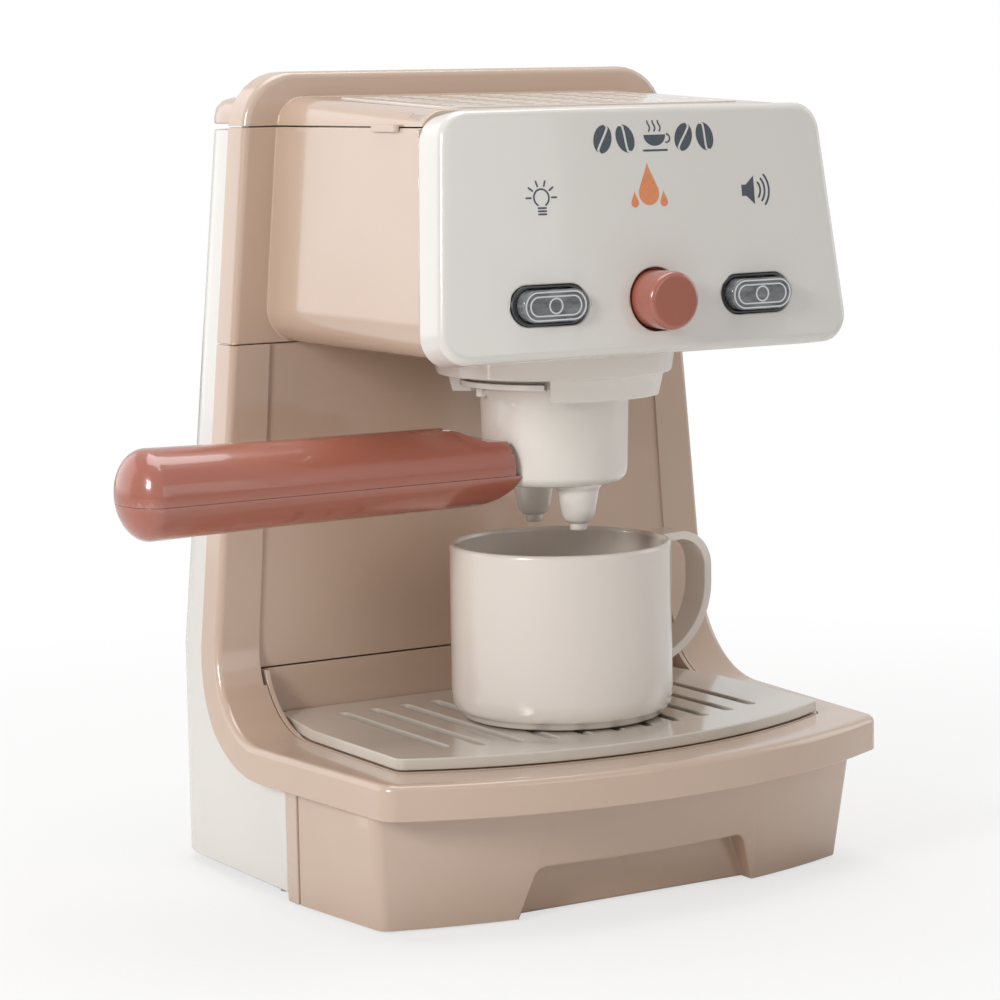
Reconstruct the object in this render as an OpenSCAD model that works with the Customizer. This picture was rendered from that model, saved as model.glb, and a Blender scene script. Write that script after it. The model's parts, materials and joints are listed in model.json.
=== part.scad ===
// Toy coffee maker with a bayonet portafilter, hand pump, mug and drip tray.
// Units are millimetres. The origin is on the table under the middle of the body.
// +X is to the right seen from the front, the front faces -Y, and +Z is up.

/* [Body] */
// Height of the arch above the table
body_h = 255; // [253:0.5:257]
// Half width of the flange at the top of the arch
top_half = 78; // [77:0.5:79]
// How much the flange half width grows for each mm down
side_slope = 0.0895; // [0.087:0.0005:0.091]
// Corner radius at the top of the arch
arch_r = 18; // [14:1:20]
// Depth of the flange and height of the lip edge
rim_t = 11; // [10:0.5:12]
// Wall thickness of the moulded shells
wall = 2.5; // [2:0.1:2.8]

/* [Seams] */
// Height of the seam between the lower frame and the head housing
mid_seam = 170; // [169.8:0.1:170.2]
// Height of the seam under the lid
lid_seam = 238; // [237.8:0.1:238.2]
// Gap left at a seam between two mouldings
seam = 0.3; // [0.2:0.05:0.4]

/* [Lip and tray] */
// Height of the top of the lip
lip_z = 48; // [47.5:0.1:48.5]
// Front of the lip at its middle
lip_front = -84.5; // [-86:0.5:-83]
// Radius of the bowed front of the lip
lip_bow = 195; // [180:5:210]
// Half width of the tray insert
tray_half = 78.2; // [77.5:0.1:78.4]
// Number of slots in the grille
slot_count = 11; // [7:2:11]
// Spacing of the grille slots
slot_pitch = 11.4; // [10:0.2:11.6]

/* [Head and panel] */
// Lean of the front panel
panel_lean = 7.07; // [6.8:0.01:7.3]
// Height of the bottom edge of the panel
panel_z = 169.8; // [169.4:0.1:170]
// Height of the pump and button centres
control_z = 186.0; // [185.8:0.1:187]
// Radius of the pump button
pump_r = 8.7; // [8:0.05:9.3]

/* [Group and mug] */
// Distance of the group axis in front of the origin
group_y = -14.8; // [-15.5:0.1:-14]
// Radius of the portafilter cup at its top
cup_r = 23.3; // [22.5:0.1:24]
// Radius of the mug
mug_r = 35; // [33:0.5:36]
// Height of the mug
mug_h = 54.7; // [50:0.1:55]

/* [Hidden] */
tan_c = "#c9ad99";
cream_c = "#dcd9d3";
white_c = "#e8e3dc";
terra_c = "#a0604f";
mug_c = "#e4dcd6";
grille_c = "#beb6aa";
metal_c = "#b9bbbd";
dark_c = "#34343a";
board_c = "#2f6b45";
clear_c = "#cfd3d6";

sweep_y = 9;
sweep_z = 77;
sweep_in = sweep_z - lip_z;
sweep_out = sweep_in + rim_t;
wall_y = sweep_y + sweep_in;
back_y = wall_y + rim_t;
lip_low = lip_z - rim_t;
recess = 0.8;
shell_rear = 84;
shell_r = 20;
shell_half = 90;
shell_half_top = 74.4;
shell_knee = 72;
shell_low = 3;
head_half_low = 73.9;
head_half_top = 67.5;
head_taper = (head_half_low - head_half_top) / 73.3;
panel_front = -70.9;
panel_tan = tan(panel_lean);
panel_len = 73.3 / cos(panel_lean);
panel_rim = 12;
panel_bow = 680;
panel_r = 9;
panel_edge = 2.6;
bow_rise = 3.9;
lid_top = 247;
lid_tip = 243;
lid_angle = atan((lid_top - lid_tip) / 88.5);
pivot_y = 86.8;
pivot_z = lid_seam + seam;
grille_z = 48.4;
grille_t = 3.6;
mug_z = 52.5;
mug_y = -17;
lip_r = 27.7;
lug_angle = -178;
handle_z = 132.95;
handle_seam = 130.4;
cap_x = 37;
cap_z = 186;
board_y = -61.5;
board_t = 1.6;
$fn = 64;

// ---------- outline functions ----------

function unit(v) = v / norm(v);

// Points of one rounded corner at q between p and s
function corner(p, q, s, r, n) =
    r <= 0 ? [q] :
    let (a = unit(p - q), b = unit(s - q), half = acos(a * b) / 2)
    let (c = q + unit(a + b) * r / sin(half))
    let (u = q + a * r / tan(half) - c, v = q + b * r / tan(half) - c)
    let (a0 = atan2(u.y, u.x), turn = (atan2(v.y, v.x) - a0 + 540) % 360 - 180)
    [for (i = [0:n]) c + r * [cos(a0 + turn * i / n), sin(a0 + turn * i / n)]];

// A closed outline from [x, y, corner radius] points
function rounded(pts, n = 8) =
    let (m = len(pts), flat = [for (p = pts) [p.x, p.y]])
    [for (i = [0:m - 1])
        each corner(flat[(i + m - 1) % m], flat[i], flat[(i + 1) % m], pts[i].z, n)];

// Points of an arc about c between two angles
function arc(c, r, a0, a1, n = 10) = [for (i = [0:n]) let (a = a0 + (a1 - a0) * i / n) c + r * [cos(a), sin(a)]];

// The right half of an outline with its mirror image
function both(half) = concat(half, [for (i = [len(half) - 1:-1:0]) [-half[i].x, half[i].y, half[i].z]]);

// Depth of a front arc of radius r and middle y0 at x
function bow_y(x, r, y0) = y0 + r - sqrt(r * r - x * x);

// Samples of that arc from x = reach towards the middle
function bow(reach, r, y0, n = 12) =
    [for (i = [0:n - 1]) let (x = reach * (n - i - 0.5) / n) [x, bow_y(x, r, y0), 0]];

function flange_half(z) =
    z > 60 ? top_half + (body_h - z) * side_slope
    : z > lip_z ? 96.5 - (z - lip_z) / (60 - lip_z) * (96.5 - flange_half(60.01)) : 96.5;

function head_half(z) = head_half_low - (z - panel_z) * head_taper;

// Depth of the seam between the head and the front panel
function seam_y(z) = panel_front + panel_rim / cos(panel_lean) + (z - panel_z) * panel_tan;

// Depth of the outer panel face at x, z
function face_y(x, z) = panel_front + (z - panel_z) * panel_tan - bow_rise + x * x / (2 * panel_bow);

// ---------- shared shapes ----------

module along_x(w) {
    rotate([90, 0, 90]) linear_extrude(w, center = true) children();
}

module along_y(y0, y1) {
    translate([0, y1, 0]) rotate([90, 0, 0]) linear_extrude(y1 - y0) children();
}

module rod_y(x, z, y0, y1, r) {
    translate([x, y0, z]) rotate([-90, 0, 0]) cylinder(h = y1 - y0, r = r);
}

module rod_x(y, z, x0, x1, r) {
    translate([x0, y, z]) rotate([0, 90, 0]) cylinder(h = x1 - x0, r = r);
}

module box(lo, hi) {
    translate(lo) cube(hi - lo);
}

module mirror_x() {
    children();
    mirror([1, 0, 0]) children();
}

// Band between two depths behind the face that sweeps from the wall into the lip
module sweep_band(t0, t1, top) {
    difference() {
        union() {
            translate([sweep_y, sweep_z]) circle(sweep_in + t1);
            translate([sweep_y, sweep_z]) square([sweep_in + t1, top - sweep_z]);
            translate([-110, lip_z - t1]) square([110 + sweep_y, sweep_in + t1]);
        }
        translate([sweep_y, sweep_z]) circle(sweep_in + t0);
        translate([-120, lip_z - t0]) square([120 + sweep_y, 300]);
        translate([-120, sweep_z]) square([120 + wall_y + t0, 300]);
    }
}

module flange_outline(t, z0, z1, r = 0) {
    half = [[flange_half(z0) - t, z0, 0], [flange_half(z1) - t, z1 - (r > 0 ? t : 0), r]];
    knee = [flange_half(60) - t, 60, 0];
    polygon(rounded(both(z0 < 60 ? [half[0], [flange_half(lip_z) - t, lip_z, 0], knee, half[1]] : half)));
}

module lip_outline(t) {
    y0 = lip_front + t;
    r = lip_bow - t;
    side = 90.65 - t;
    polygon(rounded(both(concat(
        [[96.5 - t, 70, 0], [96.5 - t, sweep_y, 0], [side, bow_y(side, r, y0), 7 - t]],
        bow(78, r, y0)))));
}

module tray_outline(t) {
    side = tray_half + t;
    y0 = -68.4 - t;
    r = 160;
    polygon(rounded(both(concat(
        [[side, 60, 0], [side, bow_y(side, r, y0), 5]], bow(68, r, y0)))));
}

module grille_outline(t) {
    side = 77.8 + t;
    y0 = -68 - t;
    r = 160;
    polygon(rounded(both(concat(
        [[72.5 + t, 38.3 + t, 5 + t], [side, 6, 0], [side, bow_y(side, r, y0), 4 + t]],
        bow(68, r, y0)))));
}

module head_outline(t, top) {
    polygon(rounded(both([
        [head_half(mid_seam) - t, mid_seam + seam + t, 11 - t],
        [head_half(top) - t, top, 0]])));
}

// Region behind the leaning seam of the panel, as a side view
module behind_seam(gap, z0, z1) {
    polygon([[seam_y(z0) + gap, z0], [seam_y(z1) + gap, z1], [100, z1], [100, z0]]);
}

module rear_slice(half, t, z, inset = 0) {
    translate([0, 0, z]) linear_extrude(0.01)
        polygon(rounded(both([
            [half - t - inset, 20, 0],
            [half - t - inset, shell_rear - t - inset, shell_r - t - inset]]), 8));
}

// ---------- frame and lip ----------

module frame_boss(z, x) {
    mirror_x() rod_y(x, z, wall_y + 2, 55.7, 4);
}

module boss_bore(z, x) {
    mirror_x() rod_y(x, z, wall_y + 3, 60, 1.55);
}

// Cheeks beside the drawer and the guide walls and back of the drawer bay
module drawer_bay() {
    intersection() {
        mirror_x() {
            box([82.5, -5.3, 0.4], [shell_half, 1.3, 70]);
            difference() {
                box([81.6, 0, 3], [83.6, 32, 70]);
                translate([83.6, 14, 0]) cylinder(h = 24.4, r = 4.1);
            }
        }
        along_x(200) sweep_band(1, 60, 170);
    }
    box([-83, 30, 3], [83, 32, 38.2]);
}

module lower_frame() {
    color(tan_c) {
        difference() {
            union() {
                difference() {
                    intersection() {
                        along_x(200) sweep_band(0, rim_t, mid_seam);
                        along_y(-95, 60) flange_outline(0, 30, mid_seam);
                        linear_extrude(200) lip_outline(0);
                    }
                    intersection() {
                        along_x(200) sweep_band(wall, rim_t + 4, mid_seam + 1);
                        along_y(-95, 60) flange_outline(wall, 30, mid_seam + 1);
                        linear_extrude(200) lip_outline(wall);
                    }
                    // shallow field inside the border of the flange
                    along_y(wall_y - 4, wall_y + recess)
                        polygon(both([[79.9, 60, 0], [72.1, mid_seam + 1, 0]]) * [[1, 0], [0, 1], [0, 0]]);
                }
                frame_boss(118, 66);
            }
            boss_bore(118, 66);
            // window that takes the tray insert
            translate([0, 0, 30]) linear_extrude(35.8) tray_outline(seam);
        }
        drawer_bay();
    }
}

module tray_insert() {
    color(tan_c) difference() {
        intersection() {
            translate([0, 0, 38.5]) linear_extrude(27) tray_outline(0);
            along_x(200) difference() {
                translate([-80, 38.5]) square([80 + wall_y + recess + 2.4, 27]);
                translate([sweep_y, sweep_z]) circle(sweep_in);
                translate([-120, lip_z]) square([120 + sweep_y, 50]);
                translate([-120, sweep_z]) square([120 + wall_y, 50]);
            }
        }
        // clear of the grille and open between the two side cheeks
        translate([0, 0, lip_z]) linear_extrude(30) grille_outline(0.4);
        box([-76.7, -90, lip_z], [76.7, wall_y + recess, 80]);
        // basin with its drain
        translate([0, 0, 40]) linear_extrude(20) grille_outline(-4.5);
        translate([0, -20, 30]) cylinder(h = 20, r = 5);
        // the side cheeks stay thin behind the strip
        box([-76.7, wall_y + 1, 42], [76.7, 60, 46]);
    }
}

module slot_2d(x, y0, y1, w) {
    translate([x - w / 2, y0 + w / 2]) square([w, y1 - y0 - w]);
    translate([x, y0 + w / 2]) circle(w / 2);
    translate([x, y1 - w / 2]) circle(w / 2);
}

module grille_plate() {
    reach = slot_pitch * (slot_count - 1) / 2;
    color(grille_c) difference() {
        translate([0, 0, grille_z]) linear_extrude(grille_t) grille_outline(0);
        translate([0, 0, grille_z - 1]) linear_extrude(2.4) grille_outline(-2.2);
        translate([0, 0, grille_z]) linear_extrude(grille_t + 1)
            for (i = [0:slot_count - 1]) {
                x = slot_pitch * i - reach;
                slot_2d(x, -51 + 10 * pow(x / 57, 2), 25, 3.2);
            }
    }
}

// ---------- drip drawer ----------

module skirt_slice(z, half, front, t) {
    side = half - t;
    y0 = front + t;
    translate([0, 0, z]) linear_extrude(0.01)
        polygon(rounded(both(concat(
            [[89.5 - t, -5.6, 0], [side - 0.4, bow_y(side, 256, y0), 4.5 - t / 2]],
            bow(76, 256, y0, 8))), 5));
}

module skirt(z0, z1, t) {
    grow = 4.2 / 36;
    hull() {
        skirt_slice(z0, 85 + grow * z0, -62.6 - grow * z0 * 1.15, t);
        skirt_slice(z1, 85 + grow * z1, -62.6 - grow * z1 * 1.15, t);
    }
}

module drip_drawer() {
    top = 36.4;
    color(tan_c) difference() {
        union() {
            skirt(0.4, top, 0);
            box([-79.5, -8, 3.6], [79.5, 25, 30]);
        }
        // open tray, kept clear of the finger recess
        difference() {
            union() {
                skirt(5.6, top + 1, wall);
                box([-77.3, -12, 5.6], [77.3, 22.8, 40]);
            }
            box([-48, -90, 0], [48, -52, 18]);
        }
        // finger recess with its flat back
        along_y(-90, -54) polygon(rounded(both([[43.8, -2, 0], [37.6, 16, 4]])));
        // room under the tray floor for the base plate, inside the skirt
        difference() {
            skirt(-1, 3.6, wall);
            along_y(-90, -51.6) square([100, 40], center = true);
        }
        box([-81.5, -20, -1], [81.5, 30, 3.6]);
        // rear edge of the skirt is open above the tray box
        box([-79.5, -8.4, 30], [79.5, 30, 50]);
    }
}

// ---------- rear shell and base ----------

module rear_body(t, z0, z1) {
    hull() {
        rear_slice(shell_half, t, z0);
        rear_slice(shell_half, t, shell_knee);
        rear_slice(shell_half_top, t, z1);
    }
    linear_extrude(shell_knee)
        intersection() {
            translate([-shell_half + t, -30]) square([2 * (shell_half - t), 60]);
            translate([-100, -30]) square([200, 60]);
        }
}

module screw_tube(z, x) {
    mirror_x() difference() {
        rod_y(x, z, 56, shell_rear - 1, 5.2);
        rod_y(x, z, 50, shell_rear, 1.7);
        rod_y(x, z, 60, shell_rear + 1, 3.5);
    }
}

module knuckle(x0, x1, low, high) {
    difference() {
        union() {
            rod_x(pivot_y, pivot_z, x0, x1, 2.4);
            box([x0, shell_rear - 2, low], [x1, pivot_y, high]);
        }
        rod_x(pivot_y, pivot_z, x0 - 1, x1 + 1, 1.06);
    }
}

module rear_shell() {
    color(cream_c) {
        difference() {
            rear_body(0, shell_low, 237);
            difference() {
                rear_body(wall, -1, 234.5);
                mirror_x() {
                    translate([83.6, 14, 0]) cylinder(h = 24, r = 3.7);
                    box([83.6, 12.5, 0], [shell_half, 15.5, 24]);
                    translate([80.4, 74.4, 0]) cylinder(h = 24, r = 4.4);
                }
            }
            box([-200, -200, -50], [200, 200, shell_low]);
            // follows the back of the flange and stops behind the cheeks
            along_x(220) {
                translate([-50, -10]) square([51.6, 60]);
                translate([-50, lip_low - seam]) square([50 + sweep_y, 250]);
                translate([sweep_y, sweep_z]) circle(sweep_out + seam);
                translate([-50, sweep_z]) square([50 + back_y + seam, 250]);
            }
            mirror_x() {
                for (z = [118, 212]) rod_y(z > 200 ? 63 : 66, z, 60, 90, 3.5);
                translate([83.6, 14, 0]) cylinder(h = 16, r = 1.3);
                translate([80.4, 74.4, 0]) cylinder(h = 16, r = 1.3);
            }
            // sound holes
            for (ring = [0:3]) for (i = [0:max(0, ring * 6 - 1)]) {
                a = ring == 0 ? 0 : i * 60 / ring;
                rod_y(ring * 4.6 * cos(a), 130 + ring * 4.6 * sin(a), 78, 90, 1.4);
            }
        }
        screw_tube(118, 66);
        screw_tube(212, 63);
        mirror_x() knuckle(20, 28, 234.4, pivot_z - 0.9);
        // ring that holds the speaker
        difference() {
            rod_y(0, 130, 76, 82.5, 23);
            rod_y(0, 130, 70, 81.5, 20.6);
            rod_y(0, 130, 80, 90, 19);
        }
    }
}

module base_outline(t) {
    polygon(rounded(both([
        [80.5 - t, -47 + t, 3], [80.5 - t, 1.8, 0], [86 - t, 1.8 + t, 0], [86 - t, 80 - t, 16]])));
}

module base_plate() {
    color(cream_c) difference() {
        union() {
            translate([0, 0, 1]) linear_extrude(2) base_outline(0);
            box([-31, 32.6, 2], [31, 81.3, 21]);
        }
        // battery bay, open below
        box([-29.4, 34.2, -1], [29.4, 79.8, 19.4]);
        mirror_x() {
            translate([83.6, 14, 0]) cylinder(h = 4, r = 1.7);
            translate([80.4, 74.4, 0]) cylinder(h = 4, r = 1.7);
            translate([83.6, 14, 0]) cylinder(h = 1.9, r = 2.2);
            translate([80.4, 74.4, 0]) cylinder(h = 1.9, r = 2.2);
            for (p = [[70, 66], [70, 14], [62, -38]]) translate([p.x, p.y, 0]) cylinder(h = 1.5, r = 6);
        }
        cylinder(h = 1.5, r = 6);
        // hole for the lead
        translate([24, 57, 15]) cylinder(h = 10, r = 2.2);
    }
}

module rubber_feet() {
    color(dark_c) {
        mirror_x() for (p = [[70, 66], [70, 14], [62, -38]])
            translate([p.x, p.y, 0]) cylinder(h = 1.5, r = 5.9);
        cylinder(h = 1.5, r = 5.9);
    }
}

module battery_cover() {
    color(cream_c) difference() {
        union() {
            box([-29.1, 34.5, 1], [29.1, 79.5, 3]);
            for (y = [49.5, 64.5]) box([-26, y - 0.6, 2.5], [26, y + 0.6, 5]);
        }
        for (i = [0:4]) box([-14, 40 + i * 2.4, 0.5], [14, 41.2 + i * 2.4, 1.6]);
        translate([0, 75, 0]) cylinder(h = 4, r = 1.5);
        translate([0, 75, 0]) cylinder(h = 1.8, r = 2.6);
    }
}

module battery(i) {
    y = 42 + 15 * i;
    color(metal_c) {
        rod_x(y, 11.2, -24.6, 24.4, 7.1);
        rod_x(y, 11.2, 24, 25.6, 2.6);
    }
}

module battery_1() {
    battery(0);
}

module battery_2() {
    battery(1);
}

module battery_3() {
    battery(2);
}

module contact_springs() {
    color(metal_c) for (i = [0:2])
        translate([-29.3, 42 + 15 * i, 11.2]) rotate([0, 90, 0]) cylinder(h = 4.6, r1 = 5, r2 = 2.6);
}

module contact_plates() {
    color(metal_c) for (i = [0:2]) box([25.7, 37.5 + 15 * i, 6.5], [26.3, 46.5 + 15 * i, 16]);
    color(metal_c) for (i = [0:2]) box([26.3, 40 + 15 * i, 9], [29.3, 44 + 15 * i, 13]);
}

module speaker() {
    color(dark_c) translate([0, 81.3, 130]) rotate([90, 0, 0]) rotate_extrude()
        polygon([[0, 3.2], [4, 2], [6, 3.6], [16, 0.8], [17.5, 1.4], [18.4, 0], [20.3, 0],
            [20.3, 1.8], [18.6, 2.6], [11, 8.2], [11, 13], [0, 13]]);
}

module rear_screws() {
    color(metal_c) mirror_x() for (p = [[66, 118], [63, 212]]) {
        rod_y(p.x, p.y, 43, 61, 1.45);
        rod_y(p.x, p.y, 60, 62.4, 3);
    }
}

module base_screws() {
    color(metal_c) mirror_x() for (p = [[83.6, 14], [80.4, 74.4]]) translate([p.x, p.y, 0.3]) {
        translate([0, 0, 0.9]) cylinder(h = 12, r = 1.25);
        translate([0, 0, 0]) cylinder(h = 1.55, r = 2.1);
    }
}

// ---------- head housing ----------

module upper_housing() {
    top = lid_seam - 0.1;
    color(tan_c) {
        difference() {
            union() {
                difference() {
                    along_y(wall_y, back_y) flange_outline(0, mid_seam + seam, top);
                    along_y(wall_y + wall, back_y + 1) flange_outline(wall, mid_seam, top + 1);
                }
                intersection() {
                    along_y(-70, wall_y + 1) head_outline(0, top);
                    along_x(200) behind_seam(0.2, 160, 250);
                }
                mirror_x() rod_y(63, 212, wall_y + 2, 55.7, 4);
            }
            along_y(-70, wall_y) head_outline(wall, top + 1);
            mirror_x() rod_y(63, 212, wall_y + 3, 60, 1.55);
            // way through to the rear body
            box([-55, 37, 178], [55, 42, 228]);
            translate([0, group_y, 165]) cylinder(h = 12, r = 3);
        }
        // tongue that closes the seam behind the flange of the lid
        box([-76.2, back_y - 8.7, 233], [76.2, back_y - 7.4, top]);
        box([-76.2, back_y - 8.2, 233], [76.2, back_y - 7, 240.3]);
        mirror_x() box([75, back_y - 8.2, 233], [76.2, back_y - 3, 240.3]);
        // saddles under the pump
        difference() {
            for (y = [-44, -31]) box([-9, y - 1.2, 172], [9, y + 1.2, control_z]);
            rod_y(0, control_z, -60, 0, 8);
        }
        // ledges that carry the tank
        mirror_x() intersection() {
            union() {
                box([61, -34, 228.6], [75, -28, 230.9]);
                box([61, 12, 228.6], [75, 18, 230.9]);
            }
            along_y(-70, wall_y) head_outline(1, 240);
        }
    }
}

// ---------- lid ----------

module on_slope() {
    translate([0, wall_y, lid_top]) rotate([lid_angle, 0, 0]) children();
}

module lid_head(t) {
    intersection() {
        on_slope() along_y(-105, 6)
            polygon(rounded(both([[68.3 - t, -16, 0], [66.9 - t, -t, 9 - t]])));
        along_x(200) behind_seam(seam + t, 225, 260);
        box([-90, -90, pivot_z - (t > 0 ? 2 : 0)], [90, wall_y + 2 - t, 260]);
    }
}

module lid_rear(t, low) {
    hull() {
        rear_slice(shell_half_top, t, low);
        for (a = [0:30:90])
            rear_slice(shell_half_top, t, lid_top - 6 + (6 - t) * sin(a), (6 - t) * (1 - cos(a)));
    }
}

module top_lid() {
    color(tan_c) {
        difference() {
            union() {
                lid_head(0);
                along_y(wall_y, back_y) flange_outline(0, pivot_z, body_h, arch_r);
                intersection() {
                    lid_rear(0, lid_seam + 0.8);
                    box([-90, back_y - 2, 230], [90, 95, 260]);
                }
            }
            lid_head(wall);
            difference() {
                along_y(wall_y + wall, back_y - wall) flange_outline(wall, 220, body_h, arch_r - wall);
                box([-90, 0, 200], [90, 90, lid_seam - 5]);
            }
            intersection() {
                lid_rear(wall, 230);
                box([-90, back_y - 3, 220], [90, 95, 260]);
            }
            // seat of the warming plate
            on_slope() translate([0, 0, -0.7]) linear_extrude(3) plate_outline(0.25);
        }
        // finger tabs
        mirror_x() difference() {
            translate([0, 0, 236.8]) linear_extrude(2.1) polygon(rounded([
                [62, -24, 0], [head_half(237) + 1.5, -24, 1.3],
                [head_half(237) + 1.5, -39.5, 1.3], [62, -39.5, 0]]));
            along_y(-70, 30) head_outline(-0.3, pivot_z);
        }
        // guides that drop inside the housing walls
        mirror_x() box([63.4, -40, 235], [64.9, 30, 243.2]);
        knuckle(-19.6, 19.6, pivot_z + 0.6, pivot_z + 2.4);
    }
}

module plate_outline(t) {
    polygon(rounded(both([[53 + t, -80 - t, 4], [53 + t, -12 + t, 4]])));
}

module warmer_plate() {
    color(white_c) on_slope() translate([0, 0, -0.7]) linear_extrude(1.1) difference() {
        plate_outline(0);
        for (row = [0:8]) for (col = [0:6])
            translate([(col - 3) * 14.2, -73.5 + row * 6.9]) rotate(90) slot_2d(0, -4.5, 4.5, 2.2);
    }
}

module lid_pin() {
    color(metal_c) rod_x(pivot_y, pivot_z, -27.8, 27.8, 1);
}

// ---------- front panel and controls ----------

module lean() {
    translate([0, panel_front, panel_z]) rotate([-panel_lean, 0, 0]) children();
}

module panel_outline(t) {
    polygon(rounded(both([
        [head_half_low - t, t, panel_r - t], [head_half_top - t, panel_len - t, panel_r - t]])));
}

// Disc of the bow radius with rounded rims, so the face is bowed and its edges are soft
module bow_disc(r, edge, z0, z1) {
    translate([0, panel_bow - bow_rise, 0]) rotate_extrude($fn = 720)
        polygon(rounded([[panel_bow - 120, z0, 0], [r, z0, edge], [r, z1, edge], [panel_bow - 120, z1, 0]], 6));
}

module edge_cutter() {
    a = atan((head_half_low - head_half_top) / panel_len);
    r = panel_edge;
    translate([head_half_low - r, r - 0.2, 0]) rotate([0, -a, 0]) translate([0, 0, -10]) difference() {
        translate([0, -6, 0]) cube([6, 6, 100]);
        cylinder(h = 100, r = r);
    }
}

module oval_2d(w, h) {
    square([w - h, h], center = true);
    for (s = [-1, 1]) translate([s * (w - h) / 2, 0]) circle(h / 2);
}

module oval_y(x, y0, y1, w, h) {
    translate([x, 0, cap_z]) along_y(y0, y1) oval_2d(w, h);
}

module front_panel() {
    color(cream_c) {
        difference() {
            lean() difference() {
                intersection() {
                    along_y(-8, panel_rim) panel_outline(0);
                    bow_disc(panel_bow, panel_edge, 0, panel_len);
                }
                mirror_x() edge_cutter();
                intersection() {
                    along_y(-8, panel_rim + 1) panel_outline(2.8);
                    bow_disc(panel_bow - wall, 1, 2.8, panel_len - 2.8);
                }
            }
            rod_y(0, control_z, -90, -50, pump_r + 0.85);
            for (s = [-1, 1]) oval_y(s * cap_x, -90, -50, 26.6, 12.1);
        }
        // posts for the circuit board
        mirror_x() for (z = [178.5, 198]) difference() {
            rod_y(53, z, face_y(53, z) + 1.5, board_y, 3);
            rod_y(53, z, board_y - 5, board_y + 1, 1.05);
        }
    }
}

// Keeps what is behind the leaning face, pushed in by depth
module behind_face(depth) {
    intersection() {
        children();
        along_x(200) polygon([
            [face_y(cap_x, 150) + depth, 150], [face_y(cap_x, 250) + depth, 250], [0, 250], [0, 150]]);
    }
}

module bezel(x) {
    color(dark_c) behind_face(0.3) difference() {
        oval_y(x, -80, -68.3, 26.2, 11.7);
        oval_y(x, -90, -50, 23, 10.2);
    }
}

module light_bezel() {
    bezel(-cap_x);
}

module sound_bezel() {
    bezel(cap_x);
}

module clear_cap(x) {
    color(clear_c) difference() {
        union() {
            oval_y(x, -74.9, -67.4, 22.3, 9.5);
            oval_y(x, -67.9, -66.9, 25.6, 12.4);
        }
        oval_y(x, -73.3, -60, 20, 7.2);
    }
}

module light_button() {
    clear_cap(-cap_x);
}

module sound_button() {
    clear_cap(cap_x);
}

module circuit_board() {
    color(board_c) difference() {
        box([-56, board_y, 173.9], [56, board_y + board_t, 201]);
        rod_y(0, control_z, -70, -50, 11.2);
        mirror_x() for (z = [178.5, 198]) rod_y(53, z, -70, -50, 1.3);
    }
}

module tact(x) {
    color(dark_c) {
        box([x - 3, board_y - 3.4, cap_z - 3], [x + 3, board_y, cap_z + 3]);
        rod_y(x, cap_z, board_y - 3.9, board_y - 3, 1.7);
    }
}

module light_switch() {
    tact(-cap_x);
}

module sound_switch() {
    tact(cap_x);
}

module led(x) {
    color(white_c) {
        rod_y(x, cap_z, board_y - 2.6, board_y, 1.5);
        translate([x, board_y - 2.6, cap_z]) sphere(1.5);
    }
}

module light_led() {
    led(-cap_x - 6.6);
}

module sound_led() {
    led(cap_x + 6.6);
}

module board_screws() {
    color(metal_c) mirror_x() for (z = [178.5, 198]) {
        rod_y(53, z, board_y - 4, board_y + board_t, 1);
        rod_y(53, z, board_y + board_t, board_y + board_t + 1.5, 2.1);
    }
}

// A twin lead that climbs the rear body and runs forward to the board
module lead(x, y, z0) {
    high = 193;
    for (dx = [-0.8, 0.8]) {
        translate([x + dx, y, z0]) cylinder(h = high - z0, r = 0.9);
        translate([x + dx, y, high]) sphere(0.9);
        rod_y(x + dx, high, board_y + board_t, y, 0.9);
    }
}

module power_lead() {
    color(terra_c) lead(24, 57, 18.8);
}

module speaker_lead() {
    color(dark_c) lead(-24, 66, 131);
    color(dark_c) for (dz = [0, 1.5]) rod_x(66, 131 + dz, -24, -8, 0.9);
    color(dark_c) rod_y(-8, 131, 66, 68.25, 0.9);
}

// ---------- pump and water ----------

module pump_button() {
    color(terra_c) difference() {
        union() {
            translate([0, -82.5, control_z]) rotate([-90, 0, 0]) rotate_extrude()
                polygon(rounded([[0, 0, 0], [pump_r, 0, 1.6], [pump_r, 15.1, 0], [0, 15.1, 0]]));
            rod_y(0, control_z, -68.5, -67, 10.8);
            rod_y(0, control_z, -69, -66, 6.8);
        }
        rod_y(0, control_z, -76, -60, 3);
    }
}

module pump_piston() {
    color(metal_c) {
        rod_y(0, control_z, -76, -34, 2.95);
        rod_y(0, control_z, -37, -33.5, 6.35);
    }
}

// Open coil swept along a helix, with flat ends
module pump_spring() {
    turns = 5;
    steps = 18;
    sides = 8;
    coil = 5.2;
    wire = 0.7;
    last = turns * steps;
    rise = (13.7 - 2 * wire) / last;
    ring = function (i) [for (j = [0:sides - 1])
        let (r = coil + wire * cos(360 * j / sides))
        [r * cos(360 * i / steps), r * sin(360 * i / steps), i * rise + wire * sin(360 * j / sides)]];
    side = [for (i = [0:last - 1]) for (j = [0:sides - 1])
        let (k = (j + 1) % sides)
        [i * sides + k, i * sides + j, (i + 1) * sides + j, (i + 1) * sides + k]];
    ends = [[for (j = [0:sides - 1]) j], [for (j = [sides - 1:-1:0]) last * sides + j]];
    color(metal_c) translate([0, -65.9 + wire, control_z]) rotate([-90, 0, 0])
        polyhedron([for (i = [0:last]) each ring(i)], concat(side, ends));
}

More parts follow.
